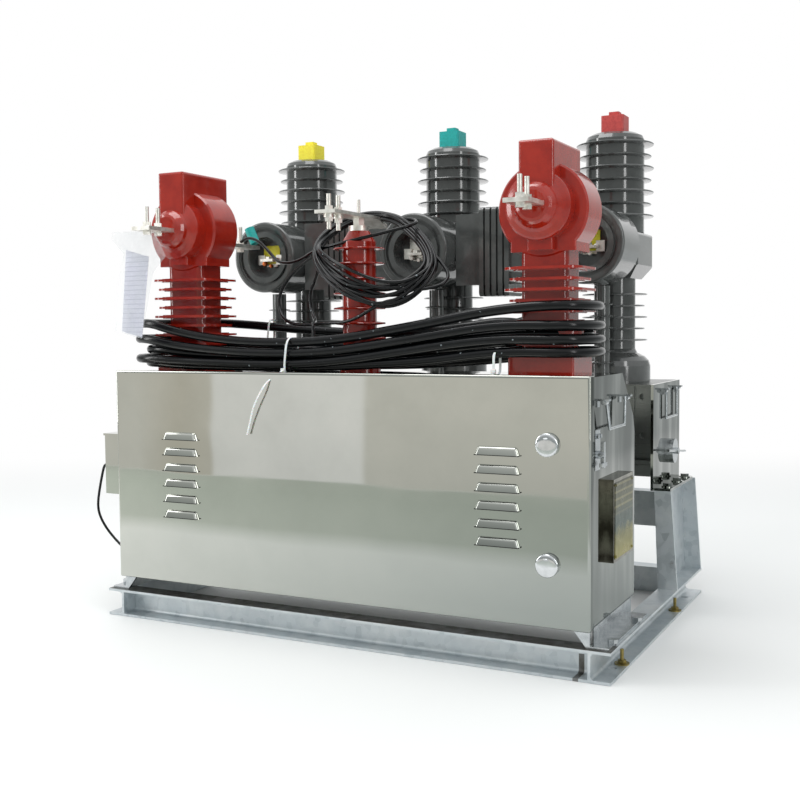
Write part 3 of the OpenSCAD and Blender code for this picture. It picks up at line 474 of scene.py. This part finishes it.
hank = {
    "diameter": 0.0165,
    "centre": (-14.5, 111),
    "halfSize": (448, 77.5),
    "corner": 60,
    "cornerSteps": (0, 30, 60, 90),
    # height of each turn along the front run, from its right end to its left end, and on the rear run
    "stations": [430, 300, 195, 10, -105, -220, -335, -420],
    "turns": [
        {"front": [499, 501, 485, 475, 472, 473, 474, 478], "rear": 472, "inset": (0, 16)},
        {"front": [519, 521, 508, 482, 476, 479, 482, 486], "rear": 476, "inset": (0, 0)},
        {"front": [541, 543, 526, 500, 495, 500, 510, 523], "rear": 490, "inset": (0, 0)},
        {"front": [528, 528, 512, 492, 489, 491, 496, 503], "rear": 496, "inset": (17, 17)},
        {"front": [572, 568, 547, 519, 514, 519, 535, 552], "rear": 508, "inset": (2, 4)},
    ],
    "frontPlaces": (340, 270, 195, 100, 10, -105, -220, -335),
    "rearPlaces": (-330, -200, -60, 80, 220, 340),
    # the rear run is level between these places and curves up to its neighbours' heights within these spans
    "rearLevel": (-60, 80),
    "rearSpans": (330, 300),
    "rearBend": 1.5,
    "arrival": 480,  # height at which the lead from the box joins the first turn
    "lastRear": [(-330, 552), (-200, 540), (-60, 530), (80, 530), (160, 538)],
    "boxLead": [(-400, 276, 330), (-400, 305, 332), (-400, 336, 350), (-400, 348, 388), (-399, 342, 430),
                (-397, 318, 465), (-392, 282, 484), (-380, 246, 486), (-360, 216, 480)],
    "mechLead": [(215, 208, 548), (240, 212, 548), (268, 224, 545), (286, 246, 530), (295, 270, 504),
                 (299, 295, 468), (300, 322, 430), (300, 352, 400), (300, 384, 382), (300, 411, 380)],
}


def hankTurn(turn, before):
    # one turn, seen from above: along the rear run to the right, round, and back along the front
    hx, hy = hank["halfSize"]
    corner = hank["corner"]
    rightIn, leftIn = turn["inset"]
    points = []

    def add(x, y, height):
        inset = leftIn + (rightIn - leftIn) * (x + hx) / (2 * hx)
        points.append(local(x * (1 - inset / hx) + hank["centre"][0],
                            y * (1 - inset / hy) + hank["centre"][1], height))

    def addCorners(side, middles, height):
        for middle, start in middles:
            for step in hank["cornerSteps"]:
                angle = math.radians(start - step)
                x = side * (hx - corner) + corner * math.cos(angle)
                add(x, middle + corner * math.sin(angle), height)

    levelFrom, levelTo = hank["rearLevel"]
    leftSpan, rightSpan = hank["rearSpans"]
    for x in hank["rearPlaces"]:
        leftShare = max(0, (levelFrom - x) / leftSpan) ** hank["rearBend"]
        rightShare = max(0, (x - levelTo) / rightSpan) ** hank["rearBend"]
        add(x, hy, turn["rear"] + (before - turn["rear"]) * leftShare
            + (turn["front"][0] - turn["rear"]) * rightShare)
    addCorners(1, ((hy - corner, 90), (corner - hy, 0)), turn["front"][0])
    for x in hank["frontPlaces"]:
        add(x, -hy, between(hank["stations"], turn["front"], x))
    addCorners(-1, ((corner - hy, 270), (hy - corner, 180)), turn["front"][-1])
    return points


def hankPoints():
    points = [local(*p) for p in hank["boxLead"]]
    before = hank["arrival"]
    for turn in hank["turns"]:
        points += hankTurn(turn, before)
        before = turn["front"][-1]
    rearY = hank["centre"][1] + hank["halfSize"][1]
    points += [local(x, rearY, height) for x, height in hank["lastRear"]]
    return points + [local(*p) for p in hank["mechLead"]]


layCable("controlCableHank", hankPoints(), hank["diameter"], "stiff", "coiled", "cable_hank", "hank_leads")

coil = {
    "diameter": 0.006,
    # one turn, from the bar's end to the left and round: every turn hangs between these two loops
    "tight": [(34, 166, 733), (-6, 172, 739), (-45, 170, 731), (-68, 150, 712), (-72, 120, 697),
              (-58, 85, 686), (-22, 61, 676), (28, 47, 664), (80, 45, 650), (118, 52, 645),
              (138, 70, 650), (142, 90, 660), (126, 110, 680), (97, 130, 702), (66, 148, 722)],
    "loose": [(38, 170, 740), (0, 178, 746), (-50, 174, 739), (-80, 150, 716), (-86, 120, 688),
              (-70, 85, 650), (-32, 60, 606), (22, 44, 566), (80, 38, 548), (126, 50, 564),
              (157, 70, 602), (165, 90, 636), (148, 110, 670), (114, 130, 704), (70, 152, 728)],
    "hang": [0.9, 0.15, 0.7, 0.35, 1.0, 0.5, 0.8, 0.0, 0.62, 0.92, 0.25, 0.75, 0.45, 0.97, 0.1],
    "lastSteps": 6,  # places of the last turn before the end lead leaves it
    "farTurn": 2,
    "farLoop": {8: (80, 42, 612), 9: (126, 52, 606), 10: (172, 72, 612), 11: (180, 92, 634)},
    "stragglerTurn": 5,
    "stragglerSteps": (5, 6, 7),
    "straggler": [(-96, 126, 674), (-132, 134, 656), (-164, 138, 630), (-180, 134, 600), (-172, 124, 570),
                  (-142, 106, 551), (-96, 88, 546), (-44, 70, 549), (20, 52, 552)],
    "startLead": [(-336, 236, 713), (-312, 228, 720), (-272, 210, 708), (-232, 190, 680), (-198, 165, 664),
                  (-160, 150, 662), (-128, 136, 668), (-97, 116, 676), (-60, 98, 682), (-13, 86, 689),
                  (39, 84, 697), (80, 92, 706), (104, 110, 714), (106, 132, 722), (90, 148, 728),
                  (64, 158, 732)],
    "endLead": [(-92, 118, 627), (-101, 118, 610), (-102, 116, 588), (-92, 108, 566), (-76, 90, 552),
                (-62, 60, 550), (-56, 50, 534), (-52, 43, 521)],
    "sway": (4, 7, 4),  # keeps one turn off the next
    "swayRate": 2.4,
    "riseRate": 1.7,
}


def coilPoints():
    points = [Vector(p) for p in coil["startLead"]]
    hang = coil["hang"]
    swayX, swayY, swayZ = coil["sway"]
    perTurn = len(coil["tight"])
    for i in range((len(hang) - 2) * perTurn + coil["lastSteps"]):
        turn, step = divmod(i, perTurn)
        if turn == coil["stragglerTurn"] and step in coil["stragglerSteps"]:
            if step == coil["stragglerSteps"][0]:
                points += [Vector(p) for p in coil["straggler"]]
            continue
        share = hang[turn] + (hang[turn + 1] - hang[turn]) * step / perTurn
        place = Vector(coil["tight"][step]).lerp(Vector(coil["loose"][step]), share)
        if turn == coil["farTurn"] and step in coil["farLoop"]:
            place = Vector(coil["farLoop"][step])
        stack = turn + step / perTurn
        across, along = coil["swayRate"] * stack, coil["riseRate"] * stack
        place += Vector((swayX * math.cos(across), swayY * math.sin(across), swayZ * math.sin(along)))
        points.append(place)
    points += [Vector(p) for p in coil["endLead"]]
    return smoothRoute([local(*p) for p in points], 2)


layCable("secondaryLeadCoil", coilPoints(), coil["diameter"], "limp", "coiled", "cable_coil", "coil_leads")

sideLead = {
    "diameter": 0.005,
    "route": [(-534.2, 60, 277), (-545, 60.2, 276.5), (-556, 64, 256), (-573, 70, 208), (-573, 70, 180),
              (-560, 70, 156), (-540, 69, 136), (-515, 66, 119), (-490, 61, 109), (-466.6, 60, 108)],
}
sidePath = smoothRoute([local(*p) for p in sideLead["route"]], 2)
layCable("sideTerminalLead", sidePath, sideLead["diameter"], "limp", "hanging", "side_lead")


def deselectAll():
    bpy.ops.object.select_all(action="DESELECT")


def activate(thing):
    deselectAll()
    thing.select_set(True)
    bpy.context.view_layer.objects.active = thing


def addModifier(thing, name, kind, **settings):
    modifier = thing.modifiers.new(name, kind)
    for setting, value in settings.items():
        setattr(modifier, setting, value)


def applyAll(thing):
    activate(thing)
    for modifier in list(thing.modifiers):
        bpy.ops.object.modifier_apply(modifier=modifier.name)
    bpy.ops.object.transform_apply(location=True, rotation=True, scale=True)


def addBlock(name, low, high, bevel=0.0):
    deselectAll()
    centre = (Vector(low) + Vector(high)) / 2
    bpy.ops.mesh.primitive_cube_add(size=1, location=centre)
    block = bpy.context.object
    block.name = name
    block.scale = Vector(high) - Vector(low)
    bpy.ops.object.transform_apply(location=True, rotation=True, scale=True)
    if bevel:
        addModifier(block, "bevel", "BEVEL", width=bevel, segments=3)
        applyAll(block)
    return block


def joinAll(name, things):
    deselectAll()
    for thing in things:
        thing.select_set(True)
    bpy.context.view_layer.objects.active = things[0]
    bpy.ops.object.join()
    joined = bpy.context.object
    joined.name = name
    joined.data.name = name
    return joined


def selectFaces(thing, test):
    bpy.ops.object.mode_set(mode="EDIT")
    bpy.ops.mesh.select_all(action="DESELECT")
    bpy.ops.mesh.select_mode(type="FACE")
    bpy.ops.object.mode_set(mode="OBJECT")
    for polygon in thing.data.polygons:
        polygon.select = test(polygon)
    bpy.ops.object.mode_set(mode="EDIT")


def moveCorners(thing, test, shift=(0, 0, 0), scale=(1, 1, 1)):
    # moves and scales the corners that pass the test, about their middle
    bpy.ops.object.mode_set(mode="EDIT")
    bpy.ops.mesh.select_mode(type="VERT")
    bpy.ops.mesh.select_all(action="DESELECT")
    bpy.ops.object.mode_set(mode="OBJECT")
    for vertex in thing.data.vertices:
        vertex.select = test(vertex.co)
    bpy.ops.object.mode_set(mode="EDIT")
    bpy.ops.transform.resize(value=scale)
    bpy.ops.transform.translate(value=shift)
    bpy.ops.object.mode_set(mode="OBJECT")


def finishPiece(piece, material, slot, body="frame", angle=40):
    activate(piece)
    bpy.ops.object.shade_smooth_by_angle(angle=math.radians(angle))
    giveMaterial(piece, material)
    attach(piece, body)


# the front door is a tray pressed from sheet, with two rows of louvres and two hinge knuckles
door = {
    "sheet": 0.002,
    "fold": 0.0025,
    "flatEdge": 0.002,
    "halfWidth": 0.457,
    "heights": (0.077, 0.465),
    "depth": 0.020,
    "hood": (0.0925, 0.0095, 0.0165),
    "hoodTop": 0.76,
    "hoodFace": 0.89,
    "hoodLean": (0.0042, -0.0036),
    "hoodRound": 0.0032,
    "hoodSheet": 0.001,
    "hoodSink": 0.0004,
    "gapHalfWidth": 0.037,
    "gapDepths": (-0.0078, 0.0002),
    "gapHeight": 0.0012,
    "rows": (-0.3085, 0.308),
    "firstLouvre": 0.340,
    "pitch": 0.0285,
    "louvres": 6,
    "hingeX": -0.4605,
    "hingeY": 0.018,
    "knuckles": (0.120, 0.400),
    "knuckleRadius": 0.003,
    "knuckleLength": 0.030,
    "leafWidth": 0.0045,
    "leafDepths": (0.013, 0.017),
    "leafRound": 0.0004,
}
doorFace = frontY - door["sheet"]


def makeTray():
    foot, top = door["heights"]
    tray = addBlock("doorTray", (-door["halfWidth"], doorFace, foot),
                    (door["halfWidth"], doorFace + door["depth"], top))
    activate(tray)
    selectFaces(tray, lambda face: face.normal.y > 0.9)
    bpy.ops.mesh.delete(type="FACE")
    bpy.ops.object.mode_set(mode="OBJECT")
    addModifier(tray, "fold", "BEVEL", width=door["fold"], segments=4)
    addModifier(tray, "sheet", "SOLIDIFY", thickness=door["sheet"], offset=-1)
    applyAll(tray)
    # an inset strip keeps the shading of the flat sheet apart from its rounded edge
    selectFaces(tray, lambda face: face.normal.y < -0.9 and face.area > 0.1)
    bpy.ops.mesh.inset(thickness=door["flatEdge"])
    bpy.ops.object.mode_set(mode="OBJECT")
    return tray


def makeHood():
    # a rounded block, leaned and narrowed, then cut open below and behind and given the sheet's thickness
    width, out, height = door["hood"]
    hood = addBlock("hood", (-width / 2, -out, -height), (width / 2, out, height))
    activate(hood)
    moveCorners(hood, lambda co: co.z > 0, scale=(door["hoodTop"], 1, 1))
    moveCorners(hood, lambda co: co.y < 0, scale=(door["hoodFace"], 1, 1))
    moveCorners(hood, lambda co: co.y < 0 and co.z > 0, (0, *door["hoodLean"]))
    addModifier(hood, "round", "BEVEL", width=door["hoodRound"], segments=5, limit_method="NONE")
    applyAll(hood)
    bpy.ops.object.mode_set(mode="EDIT")
    for cutAt, normal in (((0, 0, 0), (0, 0, -1)), ((0, door["hoodSink"], 0), (0, 1, 0))):
        bpy.ops.mesh.select_all(action="SELECT")
        bpy.ops.mesh.bisect(plane_co=cutAt, plane_no=normal, clear_outer=True)
    bpy.ops.object.mode_set(mode="OBJECT")
    addModifier(hood, "sheet", "SOLIDIFY", thickness=door["hoodSheet"], offset=-1)
    applyAll(hood)
    return hood


doorParts = [makeTray()]
hood = makeHood()
# painted shadow: a thin, nearly black plate closes the mouth under each louvre hood
shadowPlates = []
for rowX in door["rows"]:
    for n in range(door["louvres"]):
        louvreZ = door["firstLouvre"] - door["pitch"] * n
        copy = hood.copy()
        copy.data = hood.data.copy()
        bpy.context.scene.collection.objects.link(copy)
        copy.data.transform(Matrix.Translation((rowX, doorFace, louvreZ)))
        doorParts.append(copy)
        gapFront, gapBack = door["gapDepths"]
        shadowPlates.append(addBlock("gap", (rowX - door["gapHalfWidth"], doorFace + gapFront, louvreZ),
                             (rowX + door["gapHalfWidth"], doorFace + gapBack, louvreZ + door["gapHeight"])))
bpy.data.objects.remove(hood)
for knuckleZ in door["knuckles"]:
    deselectAll()
    bpy.ops.mesh.primitive_cylinder_add(
        vertices=32, radius=door["knuckleRadius"], depth=door["knuckleLength"],
        location=(door["hingeX"], frontY + door["hingeY"], knuckleZ + door["knuckleLength"] / 2))
    knuckle = bpy.context.object
    applyAll(knuckle)
    leafFront, leafBack = door["leafDepths"]
    leaf = addBlock("leaf", (door["hingeX"], frontY + leafFront, knuckleZ),
                    (door["hingeX"] + door["leafWidth"], frontY + leafBack, knuckleZ + door["knuckleLength"]),
                    door["leafRound"])
    doorParts += [knuckle, leaf]
# the painted shadow plates ride on the door
finishPiece(joinAll("louvreShadowPlates", shadowPlates), shaded, "mirror_stainless", "front_door")
doorPiece = joinAll("frontDoorSheet", doorParts)
finishPiece(doorPiece, mirror, "mirror_stainless", "front_door", 35)
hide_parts("front_door", "door_returns")
print("door", len(doorPiece.data.polygons), "faces")

# the lock covers are chromed discs, slightly domed, each with a small thumb edge
lock = {
    "x": 0.390,
    "heights": (0.360, 0.175),
    "radius": 0.0182,
    "rim": 0.0068,
    "rings": ((0.0012, 0.0012), (0.0022, 0.0006), (0.0045, 0.0004), (0.0055, 0.0002)),  # inwards and out
    "thumbHalfWidth": 0.0035,
    "thumbDepths": (-0.0112, -0.0078),
    "thumbHeights": (0.0085, 0.0115),
    "thumbRound": 0.0012,
}
covers = []
for height in lock["heights"]:
    deselectAll()
    bpy.ops.mesh.primitive_cylinder_add(
        vertices=64, radius=lock["radius"], depth=lock["rim"], rotation=(math.pi / 2, 0, 0),
        location=(lock["x"], doorFace - lock["rim"] / 2, height))
    disc = bpy.context.object
    applyAll(disc)
    selectFaces(disc, lambda face: face.normal.y < -0.9)
    for inset, rise in lock["rings"]:
        bpy.ops.mesh.inset(thickness=inset)
        bpy.ops.transform.translate(value=(0, -rise, 0))
    bpy.ops.object.mode_set(mode="OBJECT")
    thumbFront, thumbBack = lock["thumbDepths"]
    thumbFoot, thumbTop = lock["thumbHeights"]
    thumb = addBlock("thumb", (lock["x"] - lock["thumbHalfWidth"], doorFace + thumbFront, height + thumbFoot),
                     (lock["x"] + lock["thumbHalfWidth"], doorFace + thumbBack, height + thumbTop),
                     lock["thumbRound"])
    covers += [disc, thumb]
coverPiece = joinAll("lockCoverDiscs", covers)
finishPiece(coverPiece, chrome, "chrome_cover", "front_door", 50)
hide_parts("lock_covers")
print("lock covers", len(coverPiece.data.polygons), "faces")

# both sheets of the pouch are in front-plane millimetres: left and right edges are tables of height and x,
# and top and foot are the heights at the left and right ends
pouch = {
    "film": {
        "left": [(720, -447), (706, -447), (679, -420), (641, -430), (524, -448)],
        "right": [(720, -353), (716, -351), (672, -327), (643, -356), (524, -384)],
        "top": (720, 717),
        "foot": (539, 524),
        "grid": (28, 48),
        "bulge": 1.6,
        "thickness": 0.0003,
        "seed": 3,
        "fold": 0,
    },
    "papers": {
        "left": [(690, -421), (524, -436)],
        "right": [(690, -361), (524, -384)],
        "top": (687, 672),
        "foot": (538, 526),
        "grid": (20, 24),
        "bulge": 0.6,
        "thickness": 0.0006,
        "seed": 8,
        "fold": 0.30,  # share of the width that is folded back
    },
    "y": -12,
    "foldSlope": 18,
    "bends": 3,
    "bendRates": (2, 5),
    "bendPhases": (0, 6.3),
    "bendSlopes": (-1.5, 1.5),
    "flat": (0.122, 0.196),
    "area": 0.0147,
}


def makeSheet(name, sheet):
    # a flat grid drawn out between its two edges, with gentle bends
    deselectAll()
    columns, rows = sheet["grid"]
    bpy.ops.mesh.primitive_grid_add(x_subdivisions=columns, y_subdivisions=rows, size=1)
    cloth = bpy.context.object
    cloth.name = name
    draws = random.Random(sheet["seed"])
    bends = [[draws.uniform(*pouch[limits]) for limits in ("bendRates", "bendPhases", "bendSlopes")]
             for _ in range(pouch["bends"])]
    topLeft, topRight = sheet["top"]
    footLeft, footRight = sheet["foot"]
    for vertex in cloth.data.vertices:
        across = vertex.co.x + 0.5
        down = 0.5 - vertex.co.y
        height = ((topLeft + (topRight - topLeft) * across) * (1 - down)
                  + (footLeft + (footRight - footLeft) * across) * down)
        leftX, rightX = [between([h for h, _ in edge], [x for _, x in edge], height)
                         for edge in (sheet["left"], sheet["right"])]
        depth = sum(math.sin(rate * across + slope * down + phase) for rate, phase, slope in bends)
        depth = depth * sheet["bulge"] + max(0, sheet["fold"] - across) * pouch["foldSlope"]
        vertex.co = local(leftX + (rightX - leftX) * across, pouch["y"] + depth, height)
    addModifier(cloth, "film", "SOLIDIFY", thickness=sheet["thickness"], offset=0)
    applyAll(cloth)
    return cloth


pouchPiece = makeSheet("documentPouch", pouch["film"])
finishPiece(pouchPiece, film, "clear_pouch", "frame", 60)
papers = makeSheet("foldedPapers", pouch["papers"])
finishPiece(papers, paper, "clear_pouch", "frame", 30)
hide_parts("document_pouch")
print("pouch hung with its papers")

# each tie loop has its middle and half its inner depth and height in front-plane millimetres
tie = {
    "width": 0.0042,
    "thickness": 0.0013,
    "ring": 0.05,
    "squareness": 0.55,
    "headHalfWidth": 4,
    "headDepths": (-4, 1),
    "headHeights": (2, 9),
    "headRound": 0.0008,
    "loops": [
        {"name": "tieFront", "centre": (-96, 41, 493), "halfSize": (20, 31), "lean": 0.12},
        {"name": "tieRear", "centre": (-238, 189, 512), "halfSize": (11, 46), "lean": 0.1},
        {"name": "tieRight", "centre": (292, 37, 482), "halfSize": (14, 18), "lean": 0.0},
    ],
    "tail": [(-97, 18, 468), (-104, 10, 462), (-116, -6, 448), (-128, -12, 428), (-141, -12, 404),
             (-151, -9, 378), (-158, -8, 356)],
    "tailShare": 0.8,
}


def squared(value):
    # turns a circle's sine or cosine into that of a rounded square
    return math.copysign(abs(value) ** tie["squareness"], value)


def makeTieLoop(loop):
    # a flat band round the bundle, in the Y-Z plane, with its head at the bottom front
    x, y, z = loop["centre"]
    halfDepth, halfHeight = loop["halfSize"]
    halfWidth, halfThickness = tie["width"] * 500, tie["thickness"] * 500  # in millimetres
    deselectAll()
    bpy.ops.mesh.primitive_torus_add(major_segments=48, minor_segments=8, major_radius=1,
                                     minor_radius=tie["ring"])
    band = bpy.context.object
    band.name = loop["name"]
    for vertex in band.data.vertices:
        angle = math.atan2(vertex.co.y, vertex.co.x)
        across = vertex.co.z / tie["ring"] * halfWidth
        out = (math.hypot(vertex.co.x, vertex.co.y) - 1) / tie["ring"] * halfThickness
        rise = (halfHeight + out) * squared(math.sin(angle))
        vertex.co = local(x + across + loop["lean"] * rise, y + (halfDepth + out) * squared(math.cos(angle)),
                          z + rise)
    headX = x - loop["lean"] * halfHeight
    headFront, headBack = (y - halfDepth + depth for depth in tie["headDepths"])
    headFoot, headTop = (z - halfHeight + height for height in tie["headHeights"])
    head = addBlock("head", local(headX - tie["headHalfWidth"], headFront, headFoot),
                    local(headX + tie["headHalfWidth"], headBack, headTop), tie["headRound"])
    return [band, head]


def makeTail():
    points = smoothRoute([local(*p) for p in tie["tail"]], 5)
    deselectAll()
    bpy.ops.mesh.primitive_grid_add(x_subdivisions=1, y_subdivisions=len(points) - 1, size=1)
    strip = bpy.context.object
    strip.name = "tieTail"
    for vertex in strip.data.vertices:
        index = round((vertex.co.y + 0.5) * (len(points) - 1))
        vertex.co = points[index] + Vector((vertex.co.x * tie["width"] * tie["tailShare"], 0, 0))
    addModifier(strip, "band", "SOLIDIFY", thickness=tie["thickness"], offset=0)
    applyAll(strip)
    return strip


tieParts = [makeTail()]
for loop in tie["loops"]:
    tieParts += makeTieLoop(loop)
finishPiece(joinAll("cableTies", tieParts), tieNylon, "clear_pouch", "frame", 50)
print("ties", len(tie["loops"]))

# each drum recess holds a small liner plate and three round studs, copper at the first and silver elsewhere
recess = {
    "spacing": 0.345,
    "poleShift": -0.004,
    "floor": 0.370,
    "z": 0.688,
    "linerHalfWidth": 0.020,
    "linerDepths": (-0.0046, -0.0032),
    "linerHeights": (-0.012, 0.026),
    "linerRound": 0.0005,
    "studs": ((-0.012, -0.012, 0.005), (0.004, -0.017, 0.004), (0.016, -0.004, 0.0045)),  # x, z and radius
    "studLength": 0.006,
    "studDepth": -0.013,
    "studRound": 0.0007,
}
recessFinishes = {
    "a": ((yellowCap, "yellow_plastic"), (copper, "tinned_copper")),
    "b": ((tinned, "tinned_copper"), (tinned, "tinned_copper")),
    "c": ((yellowCap, "yellow_plastic"), (tinned, "tinned_copper")),
}
for n, (letter, (linerFinish, studFinish)) in enumerate(recessFinishes.items(), -1):
    x = n * recess["spacing"] + recess["poleShift"]
    floorY = frontY + recess["floor"]
    linerFront, linerBack = (floorY + depth for depth in recess["linerDepths"])
    linerFoot, linerTop = (recess["z"] + height for height in recess["linerHeights"])
    liner = addBlock("liner" + letter, (x - recess["linerHalfWidth"], linerFront, linerFoot),
                     (x + recess["linerHalfWidth"], linerBack, linerTop), recess["linerRound"])
    finishPiece(liner, *linerFinish)
    studs = []
    for studX, studZ, radius in recess["studs"]:
        deselectAll()
        bpy.ops.mesh.primitive_cylinder_add(
            vertices=24, radius=radius, depth=recess["studLength"], rotation=(math.pi / 2, 0, 0),
            location=(x + studX, floorY + recess["studDepth"], recess["z"] + studZ))
        stud = bpy.context.object
        addModifier(stud, "bevel", "BEVEL", width=recess["studRound"], segments=2)
        applyAll(stud)
        studs.append(stud)
    finishPiece(joinAll("contacts" + letter, studs), *studFinish)
print("recesses filled:", len(recessFinishes))

studio = {
    "floorSize": 40,
    "floorDrop": 0.0005,
    "mottle": 1 / 0.55,
    "drift": 0.3,
    "forward": (-0.457, 0.889),  # the way the view looks, where the floor fades to white
    "fade": (0.9, 2.6),
    "near": "#F2F3F2",
    "front": [(0.0, "#F2F3F2"), (0.05, "#C6CBC3"), (0.2, "#BEC4BB"), (0.5, "#CDD0C8"), (1.0, "#D6D8D2")],
    "frontSpan": (1.05, 4.5),
    "laneFrom": (0.945, 1.25),  # the painted lanes on the floor in front fan out from here
    "lanes": [(0.0, "#E3E2DB"), (0.548, "#E5E4DE"), (0.556, "#FFFFFF"), (0.745, "#FBFBFB"),
              (0.752, "#DDDAD1"), (0.80, "#D5D1C6"), (0.86, "#E3E2DC"), (1.0, "#E6E5E0")],
    "laneStart": (2.0, 2.05),
    "side": "#CDD1D1",
    "sideSpan": (0.95, 1.3),
    "room": "#A3A8A6",
    "ceiling": "#F2F4F5",
    "whiteAhead": (0.66, 0.86),
    "paleAbove": (0.04, 0.55),
    "lamps": [
        # name, place, aim, size and power
        ("overheadSoftbox", (-0.3, -0.5, 2.5), (0, 0, 0.3), (1.6, 1.0), 20),
        ("leftStrip", (-2.3, -1.5, 1.25), (0, 0, 0.55), (0.4, 1.9), 18),
        ("rightStrip", (2.5, -1.3, 1.25), (0, 0, 0.5), (0.4, 1.9), 12),
    ],
}


def fadeAlong(tree, point, direction, low, high):
    # rises smoothly from nought to one between two distances along a direction
    along = addNode(tree, "VectorMath", {"operation": "DOT_PRODUCT", 1: direction}, {0: point})
    return addNode(tree, "MapRange", {"interpolation_type": "SMOOTHSTEP", "From Min": low, "From Max": high},
                   {"Value": along})


def seenRays(tree):
    # camera, glossy and transmission rays, so that metal and film show the same backdrop
    rays = addNode(tree, "LightPath").outputs
    direct = addNode(tree, "Math", {"operation": "ADD"}, {0: rays["Is Camera Ray"], 1: rays["Is Glossy Ray"]})
    return addNode(tree, "Math", {"operation": "ADD", "use_clamp": True},
                   {0: direct, 1: rays["Is Transmission Ray"]})


def paintedFloor():
    # Pale resin floor, rolled on: faint mottling, greyer in front and to the right, with painted lanes
    # farther in front. Away from the lamps it glows for the rays that see it, as a lit studio floor would.
    material, tree, shader, point = newMaterial("rolledResinFloor", Base_Color=studio["near"], Roughness=0.65)
    mottle = addNode(tree, "TexNoise", {"Scale": 1 / studio["mottle"], "Detail": 3}, {"Vector": point})
    drift = addNode(tree, "Math", {"operation": "MULTIPLY_ADD", 1: studio["drift"], 2: -studio["drift"] / 2},
                    {0: mottle})
    axes = addNode(tree, "SeparateXYZ", None, {"Vector": point}).outputs
    inFront = addNode(tree, "Math", {"operation": "SUBTRACT"}, {0: drift, 1: axes["Y"]})
    frontFrom, frontTo = studio["frontSpan"]
    span = addNode(tree, "MapRange", {"From Min": frontFrom, "From Max": frontTo}, {"Value": inFront})
    tone = addNode(tree, "ValToRGB", {"stops": studio["front"]}, {"Fac": span})
    laneX, laneY = studio["laneFrom"]
    across = addNode(tree, "Math", {"operation": "SUBTRACT", 0: laneX}, {1: axes["X"]})
    down = addNode(tree, "Math", {"operation": "SUBTRACT", 0: laneY}, {1: axes["Y"]})
    fan = addNode(tree, "Math", {"operation": "DIVIDE"}, {0: across, 1: down})
    lane = addNode(tree, "ValToRGB", {"stops": studio["lanes"]}, {"Fac": fan})
    far = fadeAlong(tree, point, (0, -1, 0), *studio["laneStart"])
    laned = addNode(tree, "Mix", {"data_type": "RGBA"}, {0: far, 6: tone, 7: lane})
    right = fadeAlong(tree, point, (1, 0, 0), *studio["sideSpan"])
    sided = addNode(tree, "Mix", {"data_type": "RGBA", 7: studio["side"]}, {0: right, 6: laned})
    feed(tree, shader, {"Base Color": sided})
    away = fadeAlong(tree, point, (*studio["forward"], 0), *studio["fade"])
    left = addNode(tree, "Math", {"operation": "SUBTRACT", 0: 1.0}, {1: right})
    openAhead = addNode(tree, "Math", {"operation": "MULTIPLY"}, {0: left, 1: away})
    outer = addNode(tree, "Math", {"operation": "MAXIMUM"}, {0: far, 1: right})
    glow = addNode(tree, "Math", {"operation": "MAXIMUM"}, {0: openAhead, 1: outer})
    share = addNode(tree, "Math", {"operation": "MULTIPLY"}, {0: seenRays(tree), 1: glow})
    pale = addNode(tree, "Mix", {"data_type": "RGBA", 6: "#FFFFFF"}, {0: outer, 7: sided})
    white = addNode(tree, "Emission", {"Strength": 1.0}, {"Color": pale})
    mixed = addNode(tree, "MixShader", None, {0: share, 1: shader, 2: white})
    feed(tree, tree.nodes["Material Output"], {"Surface": mixed})
    return material


def studioWorld():
    # white ahead, mid grey behind and to the right, lighter overhead
    world = bpy.data.worlds.new("studio")
    world.use_nodes = True
    tree = world.node_tree
    direction = addNode(tree, "TexCoord").outputs["Generated"]
    ahead = fadeAlong(tree, direction, (*studio["forward"], 0), *studio["whiteAhead"])
    above = fadeAlong(tree, direction, (0, 0, 1), *studio["paleAbove"])
    room = addNode(tree, "Mix", {"data_type": "RGBA", 6: studio["room"], 7: studio["ceiling"]}, {0: above})
    lit = addNode(tree, "Mix", {"data_type": "RGBA", 7: "#FFFFFF"}, {0: ahead, 6: room})
    ambient = tree.nodes["Background"]
    ambient.inputs["Strength"].default_value = 1.0
    feed(tree, ambient, {"Color": lit})
    return world


deselectAll()
bpy.ops.mesh.primitive_plane_add(size=studio["floorSize"], location=(0, 0, -studio["floorDrop"]))
floor = bpy.context.object
floor.name = "floor"
applyAll(floor)
giveMaterial(floor, paintedFloor())
bpy.context.scene.world = studioWorld()
for name, place, aim, size, power in studio["lamps"]:
    light = bpy.data.lights.new(name, "AREA")
    light.energy = power
    light.shape = "RECTANGLE"
    light.size, light.size_y = size
    lamp = bpy.data.objects.new(name, light)
    lamp.location = place
    lamp.rotation_euler = (Vector(aim) - Vector(place)).to_track_quat("-Z", "Y").to_euler()
    bpy.context.scene.collection.objects.link(lamp)
print("studio ready")
